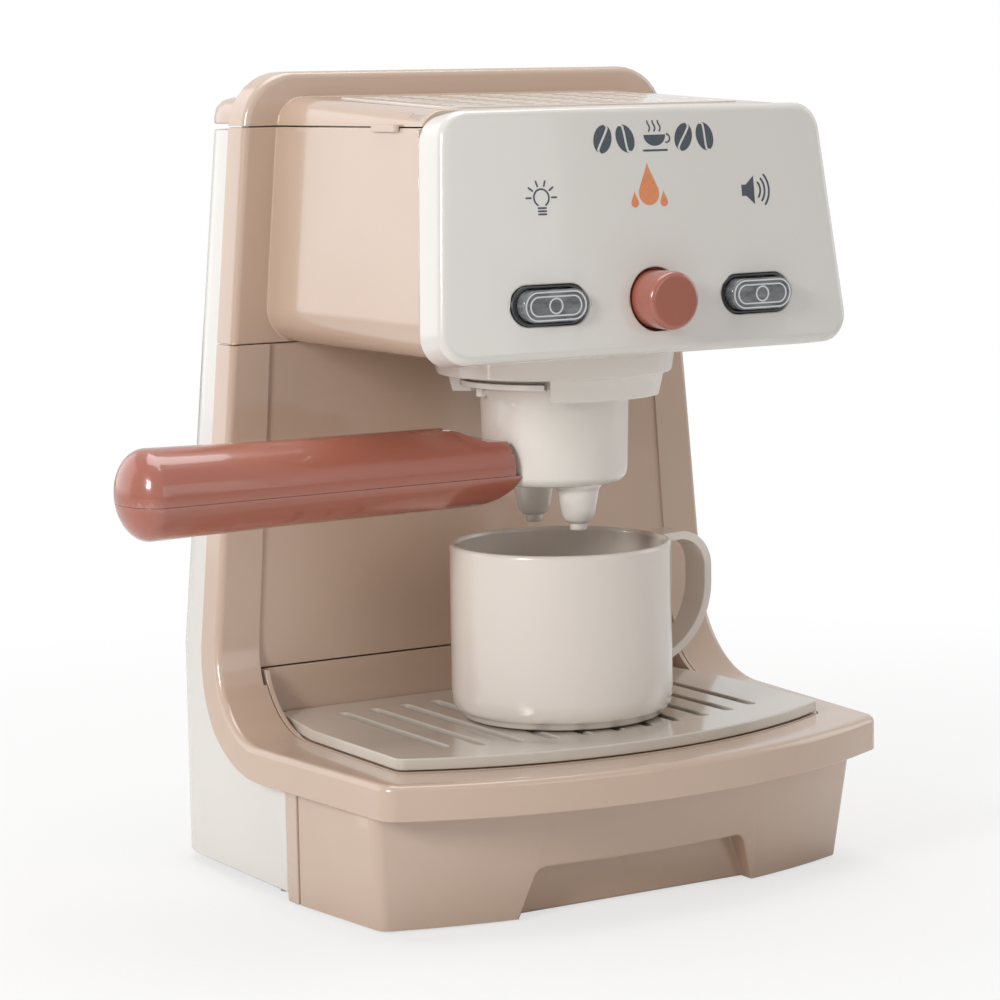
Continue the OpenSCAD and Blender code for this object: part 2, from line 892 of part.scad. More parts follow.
module pump_cylinder() {
    color(clear_c) difference() {
        union() {
            rod_y(0, control_z, -52, -24.5, 7.95);
            rod_y(0, control_z, -26, -20.9, 1.9);
            translate([0, -30, control_z]) cylinder(h = 13, r = 1.9);
        }
        rod_y(0, control_z, -50, -26.5, 6.42);
        rod_y(0, control_z, -55, -49, 3.3);
        rod_y(0, control_z, -30, -10, 1);
        translate([0, -30, control_z + 5]) cylinder(h = 12, r = 1);
    }
}

module water_tank() {
    color(clear_c) difference() {
        union() {
            along_y(-36, 26) polygon(rounded(both([[57, 205, 6], [59, 233.4, 0]])));
            along_y(-38, 28) polygon(both([[62.6, 231, 0], [62.6, 233.4, 0]]) * [[1, 0], [0, 1], [0, 0]]);
            translate([0, -30, 200.8]) cylinder(h = 6, r = 1.9);
        }
        along_y(-34, 24) polygon(rounded(both([[55, 207, 4], [57, 240, 0]])));
        translate([0, -30, 198]) cylinder(h = 12, r = 1);
    }
}

module inlet_hose() {
    color(white_c) translate([0, -30, 195.2]) difference() {
        cylinder(h = 9.6, r = 3);
        translate([0, 0, -1]) cylinder(h = 12, r = 1.95);
    }
}

module outlet_hose() {
    color(white_c) difference() {
        union() {
            rod_y(0, control_z, -23.8, group_y - 6, 3);
            translate([0, group_y - 6, control_z - 6]) rotate([0, 90, 0]) rotate([0, 0, 90])
                rotate_extrude(angle = 90) translate([6, 0]) circle(3);
            translate([0, group_y, 175.6]) cylinder(h = control_z - 6 - 175.6, r = 3);
        }
        rod_y(0, control_z, -30, group_y - 6, 1.95);
        translate([0, group_y - 6, control_z - 6]) rotate([0, 90, 0]) rotate([0, 0, 90])
            rotate_extrude(angle = 90) translate([6, 0]) circle(1.95);
        translate([0, group_y, 170]) cylinder(h = control_z - 6 - 170, r = 1.95);
    }
}

module spout_fitting() {
    color(white_c) translate([0, group_y, 0]) difference() {
        union() {
            translate([0, 0, 162]) cylinder(h = 17, r = 1.9);
            translate([0, 0, 169]) cylinder(h = 4, r = 2.9);
            translate([0, 0, mid_seam + seam + wall]) cylinder(h = 2, r = 7);
        }
        translate([0, 0, 160]) cylinder(h = 20, r = 1);
    }
}

// ---------- group, portafilter and mug ----------

module at_group() {
    translate([0, group_y, 0]) children();
}

// Sector of a ring between two angles
module sector(a0, a1, r, z0, z1) {
    translate([0, 0, z0]) linear_extrude(z1 - z0)
        polygon(concat([[0, 0]], [for (i = [0:6]) (r / cos((a1 - a0) / 12)) * [cos(a0 + (a1 - a0) * i / 6),
            sin(a0 + (a1 - a0) * i / 6)]]));
}

module group_head() {
    color(white_c) at_group() difference() {
        rotate_extrude() polygon([
            [0, 165.4], [3.2, 165.4], [3.2, mid_seam + seam], [38.3, mid_seam + seam], [38.3, 169.3],
            [36.9, 160.9], [35.9, 160.7], [34.2, 153.7], [lip_r, 153.7], [lip_r, 156.3],
            [30.3, 156.3], [30.3, 163.2], [0, 163.2]]);
        translate([0, 0, 160]) cylinder(h = 12, r = 3.1);
        difference() {
            union() {
                for (a = [lug_angle, lug_angle + 180]) sector(a - 53.5, a + 53.5, 45, 150, 160.6);
            }
            cylinder(h = 200, r = lip_r - 0.3);
        }
    }
}

module group_seal() {
    color(dark_c) at_group() translate([0, 0, 160.9]) difference() {
        cylinder(h = 2.3, r = 28);
        translate([0, 0, -1]) cylinder(h = 5, r = 23.5);
    }
}

module filter_basket() {
    color(metal_c) at_group() difference() {
        rotate_extrude() polygon([
            [0, 137], [19.6, 137], [20.4, 159.4], [23.2, 159.4], [23.2, 160.2], [19.8, 160.2],
            [19, 137.7], [0, 137.7]]);
        for (ring = [0:3]) for (i = [0:max(0, ring * 6 - 1)]) {
            a = ring == 0 ? 0 : i * 60 / ring;
            translate([ring * 4.4 * cos(a), ring * 4.4 * sin(a), 136]) cylinder(h = 3, r = 0.8);
        }
    }
}

module nozzle_solid(dy) {
    translate([0, dy, 0]) rotate_extrude() polygon([
        [0, 128.5], [7.6, 128.5], [7.5, 125.8], [6.6, 124.4], [6.3, 122.5], [5.3, 117], [4.6, 115.2],
        [3.6, 114.3], [2.7, 114.1], [2.7, 112.2], [2.3, 111.7], [0, 111.7]]);
}

module portafilter_cup() {
    color(white_c) at_group() difference() {
        union() {
            rotate_extrude() polygon(concat(
                [[0, 126], [19, 126], [21.2, 126.7], [22.4, 128.2], [22.8, 130.4], [cup_r, 150]],
                [[23.6, 153.4], [25.6, 156.4], [27.3, 157], [27.3, 160], [23.8, 160], [23.8, 159.3],
                [20.9, 159.3], [20.1, 136], [0, 136]]));
            nozzle_solid(-13);
            nozzle_solid(13);
            // bayonet lugs
            for (a = [lug_angle, lug_angle + 180]) difference() {
                intersection() {
                    translate([0, 0, 157.1]) cylinder(h = 1.9, r = lip_r + 2);
                    sector(a - 50, a + 50, 40, 156, 161);
                }
                translate([0, 0, 150]) cylinder(h = 12, r = 25);
            }
            // stop peg under the flange and the tongue inside the handle
            rotate(175.7) translate([25.6, 0, 154.2]) cylinder(h = 3.4, r = 1.65);
            box([-62, -5, 128.7], [-22, 5, 136.8]);
        }
        // basin that leads to the two nozzles
        translate([0, 0, 131]) cylinder(h = 6, r = 17);
        for (dy = [-13, 13]) translate([0, dy, 105]) cylinder(h = 30, r = 1.3);
        translate([-55, 0, 120]) cylinder(h = 30, r = 1.7);
    }
}

// Solid of revolution of the handle, with its domed end
module handle_body() {
    translate([0, 0, handle_z]) rotate([0, -90, 0]) rotate_extrude()
        polygon(concat([[0, 8], [12.3, 8], [12.55, 30], [13, 100], [13.75, 141.3]],
            [for (a = [10:10:90]) [13.75 * cos(a), 141.3 + 8.7 * sin(a)]]));
}

// Half of the handle inside a side outline, cut round the cup with a gap
module handle_half(outline, gap) {
    at_group() difference() {
        intersection() {
            handle_body();
            along_y(-20, 20) polygon(outline);
        }
        translate([0, 0, 100]) cylinder(h = 60, r = cup_r + gap);
        box([-62.5, -5.2, 128], [-18, 5.2, 137.2]);
    }
}

module handle_upper() {
    low = handle_seam + 0.05;
    color(terra_c) difference() {
        handle_half([[-160, low], [-15, low], [-15, 140.6], [-30, 141.2], [-34, 142.4],
            [-38, 144.4], [-42, 145.6], [-60, 150], [-160, 150]], 2);
        at_group() for (x = [-55, -112]) translate([x, 0, 125]) cylinder(h = 17, r = 1.45);
    }
}

module handle_lower() {
    high = handle_seam - 0.05;
    color(terra_c) difference() {
        handle_half([[-160, high], [-18, high], [-19.6, 129], [-22, 126], [-25.4, 123.2],
            [-29.6, 121.2], [-35, 120.2], [-60, 118], [-160, 118]], 0.1);
        at_group() for (x = [-55, -112]) {
            translate([x, 0, 115]) cylinder(h = 30, r = 1.6);
            translate([x, 0, 115]) cylinder(h = 9, r = 3.3);
        }
    }
}

module handle_screws() {
    color(metal_c) at_group() for (x = [-55, -112]) translate([x, 0, 0]) {
        translate([0, 0, 123]) cylinder(h = 16, r = 1.4);
        translate([0, 0, 121.6]) cylinder(h = 2.4, r = 2.9);
    }
}

// Side outline of the mug's loop, t inside its outer edge
module loop_outline(t, x0) {
    polygon(concat([[x0, 106.5 - t]], arc([42.4, 95.2], 11.8 - t, 90, 0), arc([28.4, 90], 25.8 - t, 0, -66),
        [[x0, 63.8 + t]]));
}

module mug() {
    top = mug_z + mug_h;
    color(mug_c) translate([0, mug_y, 0]) {
        rotate_extrude() polygon([
            [0, mug_z + 1.4], [29, mug_z + 1.4], [29.6, mug_z], [31.6, mug_z], [32.6, mug_z + 1.9],
            [33.8, mug_z + 2.6], [34.6, mug_z + 4.4], [mug_r, mug_z + 8], [mug_r, top - 0.8],
            [mug_r - 0.6, top], [mug_r - 1.5, top], [mug_r - 2.2, top - 0.9], [mug_r - 2.4, mug_z + 8],
            [mug_r - 5, mug_z + 4.2], [0, mug_z + 3.8]]);
        difference() {
            along_y(-5.6, 5.6) difference() {
                loop_outline(0, 33.5);
                loop_outline(2.7, 31);
            }
            cylinder(h = 200, r = mug_r - 1.2);
        }
    }
}

lower_frame();
upper_housing();
top_lid();
warmer_plate();
lid_pin();
rear_shell();
base_plate();
rubber_feet();
battery_cover();
battery_1();
battery_2();
battery_3();
contact_springs();
contact_plates();
speaker();
rear_screws();
base_screws();
front_panel();
light_bezel();
sound_bezel();
light_button();
sound_button();
circuit_board();
light_switch();
sound_switch();
light_led();
sound_led();
board_screws();
power_lead();
speaker_lead();
pump_button();
pump_piston();
pump_spring();
pump_cylinder();
water_tank();
inlet_hose();
outlet_hose();
spout_fitting();
group_head();
group_seal();
filter_basket();
portafilter_cup();
handle_upper();
handle_lower();
handle_screws();
mug();
grille_plate();
tray_insert();
drip_drawer();
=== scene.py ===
"""Looks of a toy coffee maker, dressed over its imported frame.

Lengths are in metres and places are in the frame's own axes: the origin is on the table under
the middle of the body, +X is to the right seen from the front, the front faces -Y and +Z is up.
"""

import json
import logging
import math
from dataclasses import dataclass, field
from enum import Enum
from typing import Callable, Iterable, Sequence

import bmesh
import bpy
from mathutils import Matrix, Vector
from mathutils.bvhtree import BVHTree
from mathutils.geometry import delaunay_2d_cdt

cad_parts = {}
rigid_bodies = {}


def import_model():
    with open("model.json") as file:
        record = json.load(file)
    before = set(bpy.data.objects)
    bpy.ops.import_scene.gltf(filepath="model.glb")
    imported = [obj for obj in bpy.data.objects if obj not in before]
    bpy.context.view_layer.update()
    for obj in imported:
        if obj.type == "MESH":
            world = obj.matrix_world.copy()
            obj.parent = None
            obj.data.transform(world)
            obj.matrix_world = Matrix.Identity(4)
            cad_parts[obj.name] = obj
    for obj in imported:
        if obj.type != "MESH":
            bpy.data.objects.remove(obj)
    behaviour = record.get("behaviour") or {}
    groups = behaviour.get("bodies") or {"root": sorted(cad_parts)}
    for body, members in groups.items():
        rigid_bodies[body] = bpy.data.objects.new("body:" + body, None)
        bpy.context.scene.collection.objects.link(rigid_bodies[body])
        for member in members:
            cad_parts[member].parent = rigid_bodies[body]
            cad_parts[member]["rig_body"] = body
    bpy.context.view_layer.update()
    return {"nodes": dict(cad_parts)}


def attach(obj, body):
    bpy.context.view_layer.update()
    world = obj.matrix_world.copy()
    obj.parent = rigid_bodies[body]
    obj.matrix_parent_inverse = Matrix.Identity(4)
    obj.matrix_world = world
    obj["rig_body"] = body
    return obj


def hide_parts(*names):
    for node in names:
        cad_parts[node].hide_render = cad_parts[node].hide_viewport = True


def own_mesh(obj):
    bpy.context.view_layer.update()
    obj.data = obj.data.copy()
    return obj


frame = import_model()

MM = 0.001
LOG = logging.getLogger("coffee_maker")
BUTTON_ROW = 186 * MM  # height of the middles of the three buttons
BUTTON_SPREAD = 37 * MM  # how far the clear buttons lie from the round one

Feeds = dict[str | int, object]
Point = tuple[float, float]
Colour = tuple[float, float, float, float]
Material = bpy.types.Material
Piece = bpy.types.Object
Form = bmesh.types.BMesh
Ring = list[bmesh.types.BMVert]
Line = bmesh.types.BMEdge


def colour(code: str) -> Colour:
    """Turn a written colour into the linear values that shaders take.

    Args:
        code: The colour as six hex digits after a hash.

    Returns:
        Red, green, blue and a full alpha.
    """
    parts = [int(code[i : i + 2], 16) / 255 for i in (1, 3, 5)]
    linear = [p / 12.92 if p <= 0.04045 else ((p + 0.055) / 1.055) ** 2.4 for p in parts]
    return (linear[0], linear[1], linear[2], 1.0)


# ---------------------------------------------------------------- shader tree


class Socket:
    """An output of a shader tree that takes part in sums."""

    def __init__(self, graph: "Graph", output: bpy.types.NodeSocket) -> None:
        """Hold the output and the graph that it belongs to."""
        self.graph = graph
        self.output = output

    def _sum(self, operation: str, first: object, second: object) -> "Socket":
        """Add the Math node of one operation on two values."""
        return self.graph.node("ShaderNodeMath", {"operation": operation}, {0: first, 1: second})

    def __add__(self, other: object) -> "Socket":
        """Add a value or an output."""
        return self._sum("ADD", self, other)

    __radd__ = __add__

    def __sub__(self, other: object) -> "Socket":
        """Take a value or an output away."""
        return self._sum("SUBTRACT", self, other)

    def __rsub__(self, other: object) -> "Socket":
        """Take this output away from a value."""
        return self._sum("SUBTRACT", other, self)

    def __mul__(self, other: object) -> "Socket":
        """Multiply by a value or an output."""
        return self._sum("MULTIPLY", self, other)

    __rmul__ = __mul__

    def __gt__(self, other: object) -> "Socket":
        """Give 1 where this output is above the other."""
        return self._sum("GREATER_THAN", self, other)

    def __lt__(self, other: object) -> "Socket":
        """Give 1 where this output is below the other."""
        return self._sum("LESS_THAN", self, other)

    def span(self, low: float, high: float, start: float = 0.0, end: float = 1.0) -> "Socket":
        """Carry this output from one span of values to another.

        Args:
            low: The value that becomes the start.
            high: The value that becomes the end.
            start: The result at the low value.
            end: The result at the high value.

        Returns:
            The carried value, held inside the new span.
        """
        return self.graph.node(
            "ShaderNodeMapRange", {"clamp": True}, {0: self, 1: low, 2: high, 3: start, 4: end}
        )


class Graph:
    """The node tree of one finish, or of the surroundings."""

    def __init__(self, name: str, world: bool = False) -> None:
        """Start an empty material, or world, of that name.

        Args:
            name: The material's or world's name.
            world: Whether it is for the surroundings.
        """
        library = bpy.data.worlds if world else bpy.data.materials
        self.material = library.new(name)
        self.material.use_nodes = True
        self.world = world
        self.tree = self.material.node_tree
        self.tree.nodes.clear()

    def node(
        self,
        kind: str,
        settings: dict[str, object] | None = None,
        inputs: Feeds | None = None,
        out: str | int = 0,
    ) -> Socket:
        """Add a node, set it up and feed it.

        Args:
            kind: The node's type.
            settings: Properties by name.
            inputs: Values or outputs by the name or number of the socket that they feed.
            out: The name or number of the output that is wanted.

        Returns:
            That output, ready for sums.
        """
        node = self.tree.nodes.new(kind)
        for key, value in (settings or {}).items():
            setattr(node, key, value)
        for key, value in (inputs or {}).items():
            if isinstance(value, Socket):
                self.tree.links.new(value.output, node.inputs[key])
            else:
                node.inputs[key].default_value = value
        return Socket(self, node.outputs[out])

    def place(self) -> Socket:
        """Give the point in the piece's own axes, which move with it."""
        return self.node("ShaderNodeTexCoord", out="Object")

    def axis(self, letter: str) -> Socket:
        """Give one of the three coordinates of the place."""
        return self.node("ShaderNodeSeparateXYZ", None, {0: self.place()}, out=letter)

    def noise(self, size: float, detail: float = 2.0, stretch: Point = (1.0, 1.0)) -> Socket:
        """Give a cloudy value.

        Args:
            size: The width of one cloud, in metres.
            detail: How many finer layers it has.
            stretch: How much finer the clouds are across Y and along Z.

        Returns:
            A value around one half.
        """
        spot = self.node("ShaderNodeMapping", None, {0: self.place(), "Scale": (1.0, *stretch)})
        feeds = {"Vector": spot, "Scale": 1 / size, "Detail": detail}
        return self.node("ShaderNodeTexNoise", None, feeds)

    def blend(self, factor: object, first: object, second: object) -> Socket:
        """Mix two colours by a factor."""
        feeds = {0: factor, 6: first, 7: second}
        return self.node("ShaderNodeMix", {"data_type": "RGBA"}, feeds, out=2)

    def edges(self, reach: float) -> Socket:
        """Give a mask that is 1 along the outer edges of the mesh."""
        point = self.node("ShaderNodeNewGeometry", out="Pointiness")
        return point.span(0.5 + reach * 0.2, 0.5 + reach)

    def bump(self, height: Socket, depth: float) -> Socket:
        """Turn a height, whose full span is that deep, into a surface direction."""
        feeds = {"Height": height, "Distance": depth, "Strength": 1.0}
        return self.node("ShaderNodeBump", None, feeds, out="Normal")

    def finish(self, inputs: Feeds) -> Material:
        """Close the tree with one surface."""
        surface = self.node("ShaderNodeBsdfPrincipled", None, inputs)
        return self.close(surface)

    def close(self, surface: Socket) -> Material | bpy.types.World:
        """Feed a surface, or the surroundings' light, to the output.

        Args:
            surface: What the output shows.

        Returns:
            The finished material or world.
        """
        kind = "ShaderNodeOutputWorld" if self.world else "ShaderNodeOutputMaterial"
        output = self.tree.nodes.new(kind)
        self.tree.links.new(surface.output, output.inputs["Surface"])
        return self.material


# ---------------------------------------------------------------- finishes


@dataclass(frozen=True)
class Finish:
    """A finish, known by its material's name and its main colour."""

    name: str
    tint: str

    @property
    def base(self) -> Colour:
        """The main colour, as shaders take it."""
        return colour(self.tint)


@dataclass(frozen=True)
class Moulded(Finish):
    """Glossy injection-moulded plastic."""

    rough: float = 0.2
    gloss: float = 0.65
    drift: float = 0.02
    # share of painted highlight that pales the outer edges
    edge_highlight: float = 0.08
    peel: float = 0.01 * MM

    def build(self) -> Material:
        """Make the material: a drifting colour, a handled gloss, a painted highlight that pales the
        edges and a faint peel.

        Returns:
            The material.
        """
        graph = Graph(self.name)
        deep = (*(part * (1 - self.drift) for part in self.base[:3]), 1)
        pale = tuple(min(1.0, part * (1 + self.drift)) for part in self.base)
        flow = graph.noise(55 * MM, 2.0, (1.0, 0.6)).span(0.25, 0.75)
        edge = graph.edges(0.07)
        body = graph.blend(flow, deep, pale)
        # painted highlight: outer edges are blended towards warm white
        edge_lit = graph.blend(edge * self.edge_highlight, body, (1.0, 0.98, 0.95, 1.0))
        haze = graph.noise(24 * MM, 2.0, (1.0, 1.6)).span(0.2, 0.8)
        speck = graph.noise(0.6 * MM, 2.0).span(0.6, 0.9)
        rough = haze * 0.04 + speck * 0.03 + edge * 0.05 + (self.rough - 0.03)
        skin = graph.noise(7 * MM, 1.0) * 0.85 + graph.noise(0.45 * MM, 1.0) * 0.15
        return graph.finish({
            "Base Color": edge_lit,
            "Roughness": rough,
            "IOR": 1.5,
            "Coat Weight": self.gloss,
            "Coat Roughness": 0.05,
            "Normal": graph.bump(skin, self.peel),
        })


@dataclass(frozen=True)
class Clear(Finish):
    """Clear moulded plastic, which lets what lies behind it show."""

    tint: str = "#7C8083"
    cover: float = 0.45

    def build(self) -> Material:
        """Make the material: a thin clear body with faint flow lines.

        Returns:
            The material.
        """
        graph = Graph(self.name)
        flow = graph.noise(6 * MM, 2.0, (1.0, 3.0))
        return graph.finish({
            "Base Color": graph.blend(flow, self.base, (0.5, 0.52, 0.54, 1.0)),
            "Roughness": graph.noise(4 * MM, 3.0).span(0.4, 0.8, 0.04, 0.09),
            "IOR": 1.49,
            "Coat Weight": 1.0,
            "Alpha": flow * 0.1 + (self.cover - 0.05),
            "Normal": graph.bump(flow, 0.02 * MM),
        })


@dataclass(frozen=True)
class Plated(Finish):
    """Plated or drawn steel."""

    tint: str = "#B9BBBD"
    rough: float = 0.28

    def build(self) -> Material:
        """Make the material: drawn streaks with dull stains.

        Returns:
            The material.
        """
        graph = Graph(self.name)
        streak = graph.noise(0.7 * MM, 3.0, (0.2, 1.0))
        stain = graph.noise(9 * MM, 3.0).span(0.4, 0.7)
        return graph.finish({
            "Base Color": graph.blend(stain * 0.4, self.base, colour("#8E8C88")),
            "Metallic": 1.0,
            "Roughness": streak * 0.16 + stain * 0.08 + (self.rough - 0.1),
            "Normal": graph.bump(streak, 0.01 * MM),
        })


@dataclass(frozen=True)
class Soft(Finish):
    """Rubber, silicone and wire covering."""

    rough: float = 0.6
    gloss: float = 0.0

    def build(self) -> Material:
        """Make the material: a dusty colour over a fine grain.

        Returns:
            The material.
        """
        graph = Graph(self.name)
        dust = graph.noise(5 * MM, 4.0).span(0.5, 0.8)
        grain = graph.noise(0.35 * MM, 2.0)
        return graph.finish({
            "Base Color": graph.blend(dust * 0.12, self.base, colour("#B8B2AA")),
            "Roughness": grain * 0.12 + dust * 0.1 + (self.rough - 0.06),
            "Coat Weight": self.gloss,
            "Normal": graph.bump(grain, 0.03 * MM),
        })


@dataclass(frozen=True)
class Laminate(Finish):
    """Coated circuit board with copper tracks under the coat."""

    tint: str = "#1E5A38"

    def build(self) -> Material:
        """Make the material: tracks as thin raised bands in a slightly paler green.

        Returns:
            The material.
        """
        graph = Graph(self.name)
        across = graph.node(
            "ShaderNodeTexWave", {"wave_type": "BANDS", "bands_direction": "Z"},
            {"Vector": graph.place(), "Scale": 60.0, "Distortion": 3.0, "Detail": 1.0},
            out=1,
        )
        track = across.span(0.72, 0.8)
        return graph.finish({
            "Base Color": graph.blend(track, self.base, colour("#3C8A58")),
            "Roughness": track * 0.08 + 0.26,
            "Coat Weight": 0.5,
            "Normal": graph.bump(track, 0.03 * MM),
        })


@dataclass(frozen=True)
class Sleeve(Finish):
    """Printed cell sleeve with bare metal at both ends."""

    tint: str = "#3A424B"
    half: float = 23.4 * MM
    band: Point = (12 * MM, 17 * MM)

    def build(self) -> Material:
        """Make the material: a plain sleeve with one pale band near the terminal.

        Returns:
            The material.
        """
        graph = Graph(self.name)
        along = graph.axis("X")
        bare = (along > self.half) + (along < -self.half)
        band = (along > self.band[0]) * (along < self.band[1])
        printed = graph.blend(band, self.base, colour("#C7A24A"))
        grime = graph.noise(4 * MM, 3.0).span(0.5, 0.8)
        return graph.finish({
            "Base Color": graph.blend(bare, printed, colour("#C9CBCC")),
            "Metallic": bare,
            "Roughness": grime * 0.1 + 0.24,
            "Normal": graph.bump(grime, 0.01 * MM),
        })


@dataclass(frozen=True)
class Ink(Finish):
    """Pad-printed ink, thin and slightly uneven."""

    def build(self) -> Material:
        """Make the material: ink whose cover and gloss vary a little.

        Returns:
            The material.
        """
        graph = Graph(self.name)
        pale = tuple(min(1.0, part * 1.3 + 0.02) for part in self.base)
        cover = graph.noise(0.8 * MM, 3.0).span(0.35, 0.75)
        return graph.finish({
            "Base Color": graph.blend(cover * 0.4, self.base, pale),
            "Roughness": cover * 0.1 + 0.3,
            "Coat Weight": 0.2,
            "Normal": graph.bump(cover, 0.004 * MM),
        })


class Look(Enum):
    """The finishes of the coffee maker, each by the slot that it fills."""

    TAN = ("tan_shell", Moulded("tan_plastic", "#CAB09C"))
    CREAM = ("cream_shell", Moulded("cream_plastic", "#E0DCD6"))
    WHITE = ("white_parts", Moulded("white_plastic", "#E6E0D8"))
    MUG = ("mug_body", Moulded("ivory_plastic", "#E4DBD2"))
    TERRACOTTA = ("terracotta", Moulded("terracotta_plastic", "#A65F4D", rough=0.26, gloss=0.8))
    GRILLE = ("grille", Moulded("stone_plastic", "#CFC6BA"))
    CLEAR = ("clear_plastic", Clear("clear_plastic"))
    # painted shade: the clear buttons are tinted dark grey, standing for the shaded wells behind them
    CAP = ("clear_plastic", Clear("clear_cap", "#303336", cover=0.62))
    # painted highlight: the ribs on the clear buttons are pale and opaque, standing for the light
    # their edges catch
    RIB = ("clear_plastic", Moulded("rib_highlight", "#DADDDF", rough=0.12))
    DARK = ("dark_plastic", Moulded("smoked_plastic", "#26262A", drift=0.08, edge_highlight=0.03))
    STEEL = ("steel", Plated("plated_steel"))
    RUBBER = ("rubber_pad", Soft("foot_rubber", "#3B3A39"))
    HOSE = ("hose", Soft("silicone_tube", "#D9D7D0", rough=0.4, gloss=0.2))
    BOARD = ("board", Laminate("board_laminate"))
    CELL = ("battery_sleeve", Sleeve("cell_sleeve"))
    RED_LEAD = ("lead_red", Soft("red_wire", "#A83A2E", rough=0.45))
    DARK_LEAD = ("lead_dark", Soft("dark_wire", "#2E2E31", rough=0.45))
    LED = ("led_white", Moulded("led_epoxy", "#EDEBE2", rough=0.12))
    GREY_INK = ("cream_shell", Ink("slate_ink", "#3E4650"))
    WARM_INK = ("cream_shell", Ink("terracotta_ink", "#DC8858"))

    @property
    def slot(self) -> str:
        """The record's material slot."""
        return self.value[0]

    @property
    def material(self) -> Material:
        """The material, made when it is first asked for."""
        found = bpy.data.materials.get(self.value[1].name)
        return found or self.value[1].build()

    def put_on(self, piece: Piece) -> None:
        """Give a piece this finish alone."""
        piece.data.materials.clear()
        piece.data.materials.append(self.material)


# ---------------------------------------------------------------- mesh making


@dataclass(frozen=True)
class Edging:
    """How the edges of a moulding are rounded."""

    width: float = 0.4 * MM
    sharp: float = math.radians(34)
    wide: Callable[[Vector], float] | None = None
    shift: Callable[[Vector], Vector] | None = None

    def at(self, spot: Vector) -> float:
        """Give the rounding wanted at a spot."""
        return self.width if self.wide is None else self.wide(spot)

    def moved(self, spot: Vector) -> Vector:
        """Give where a point of the solid lies before it is rounded."""
        return spot.copy() if self.shift is None else self.shift(spot)


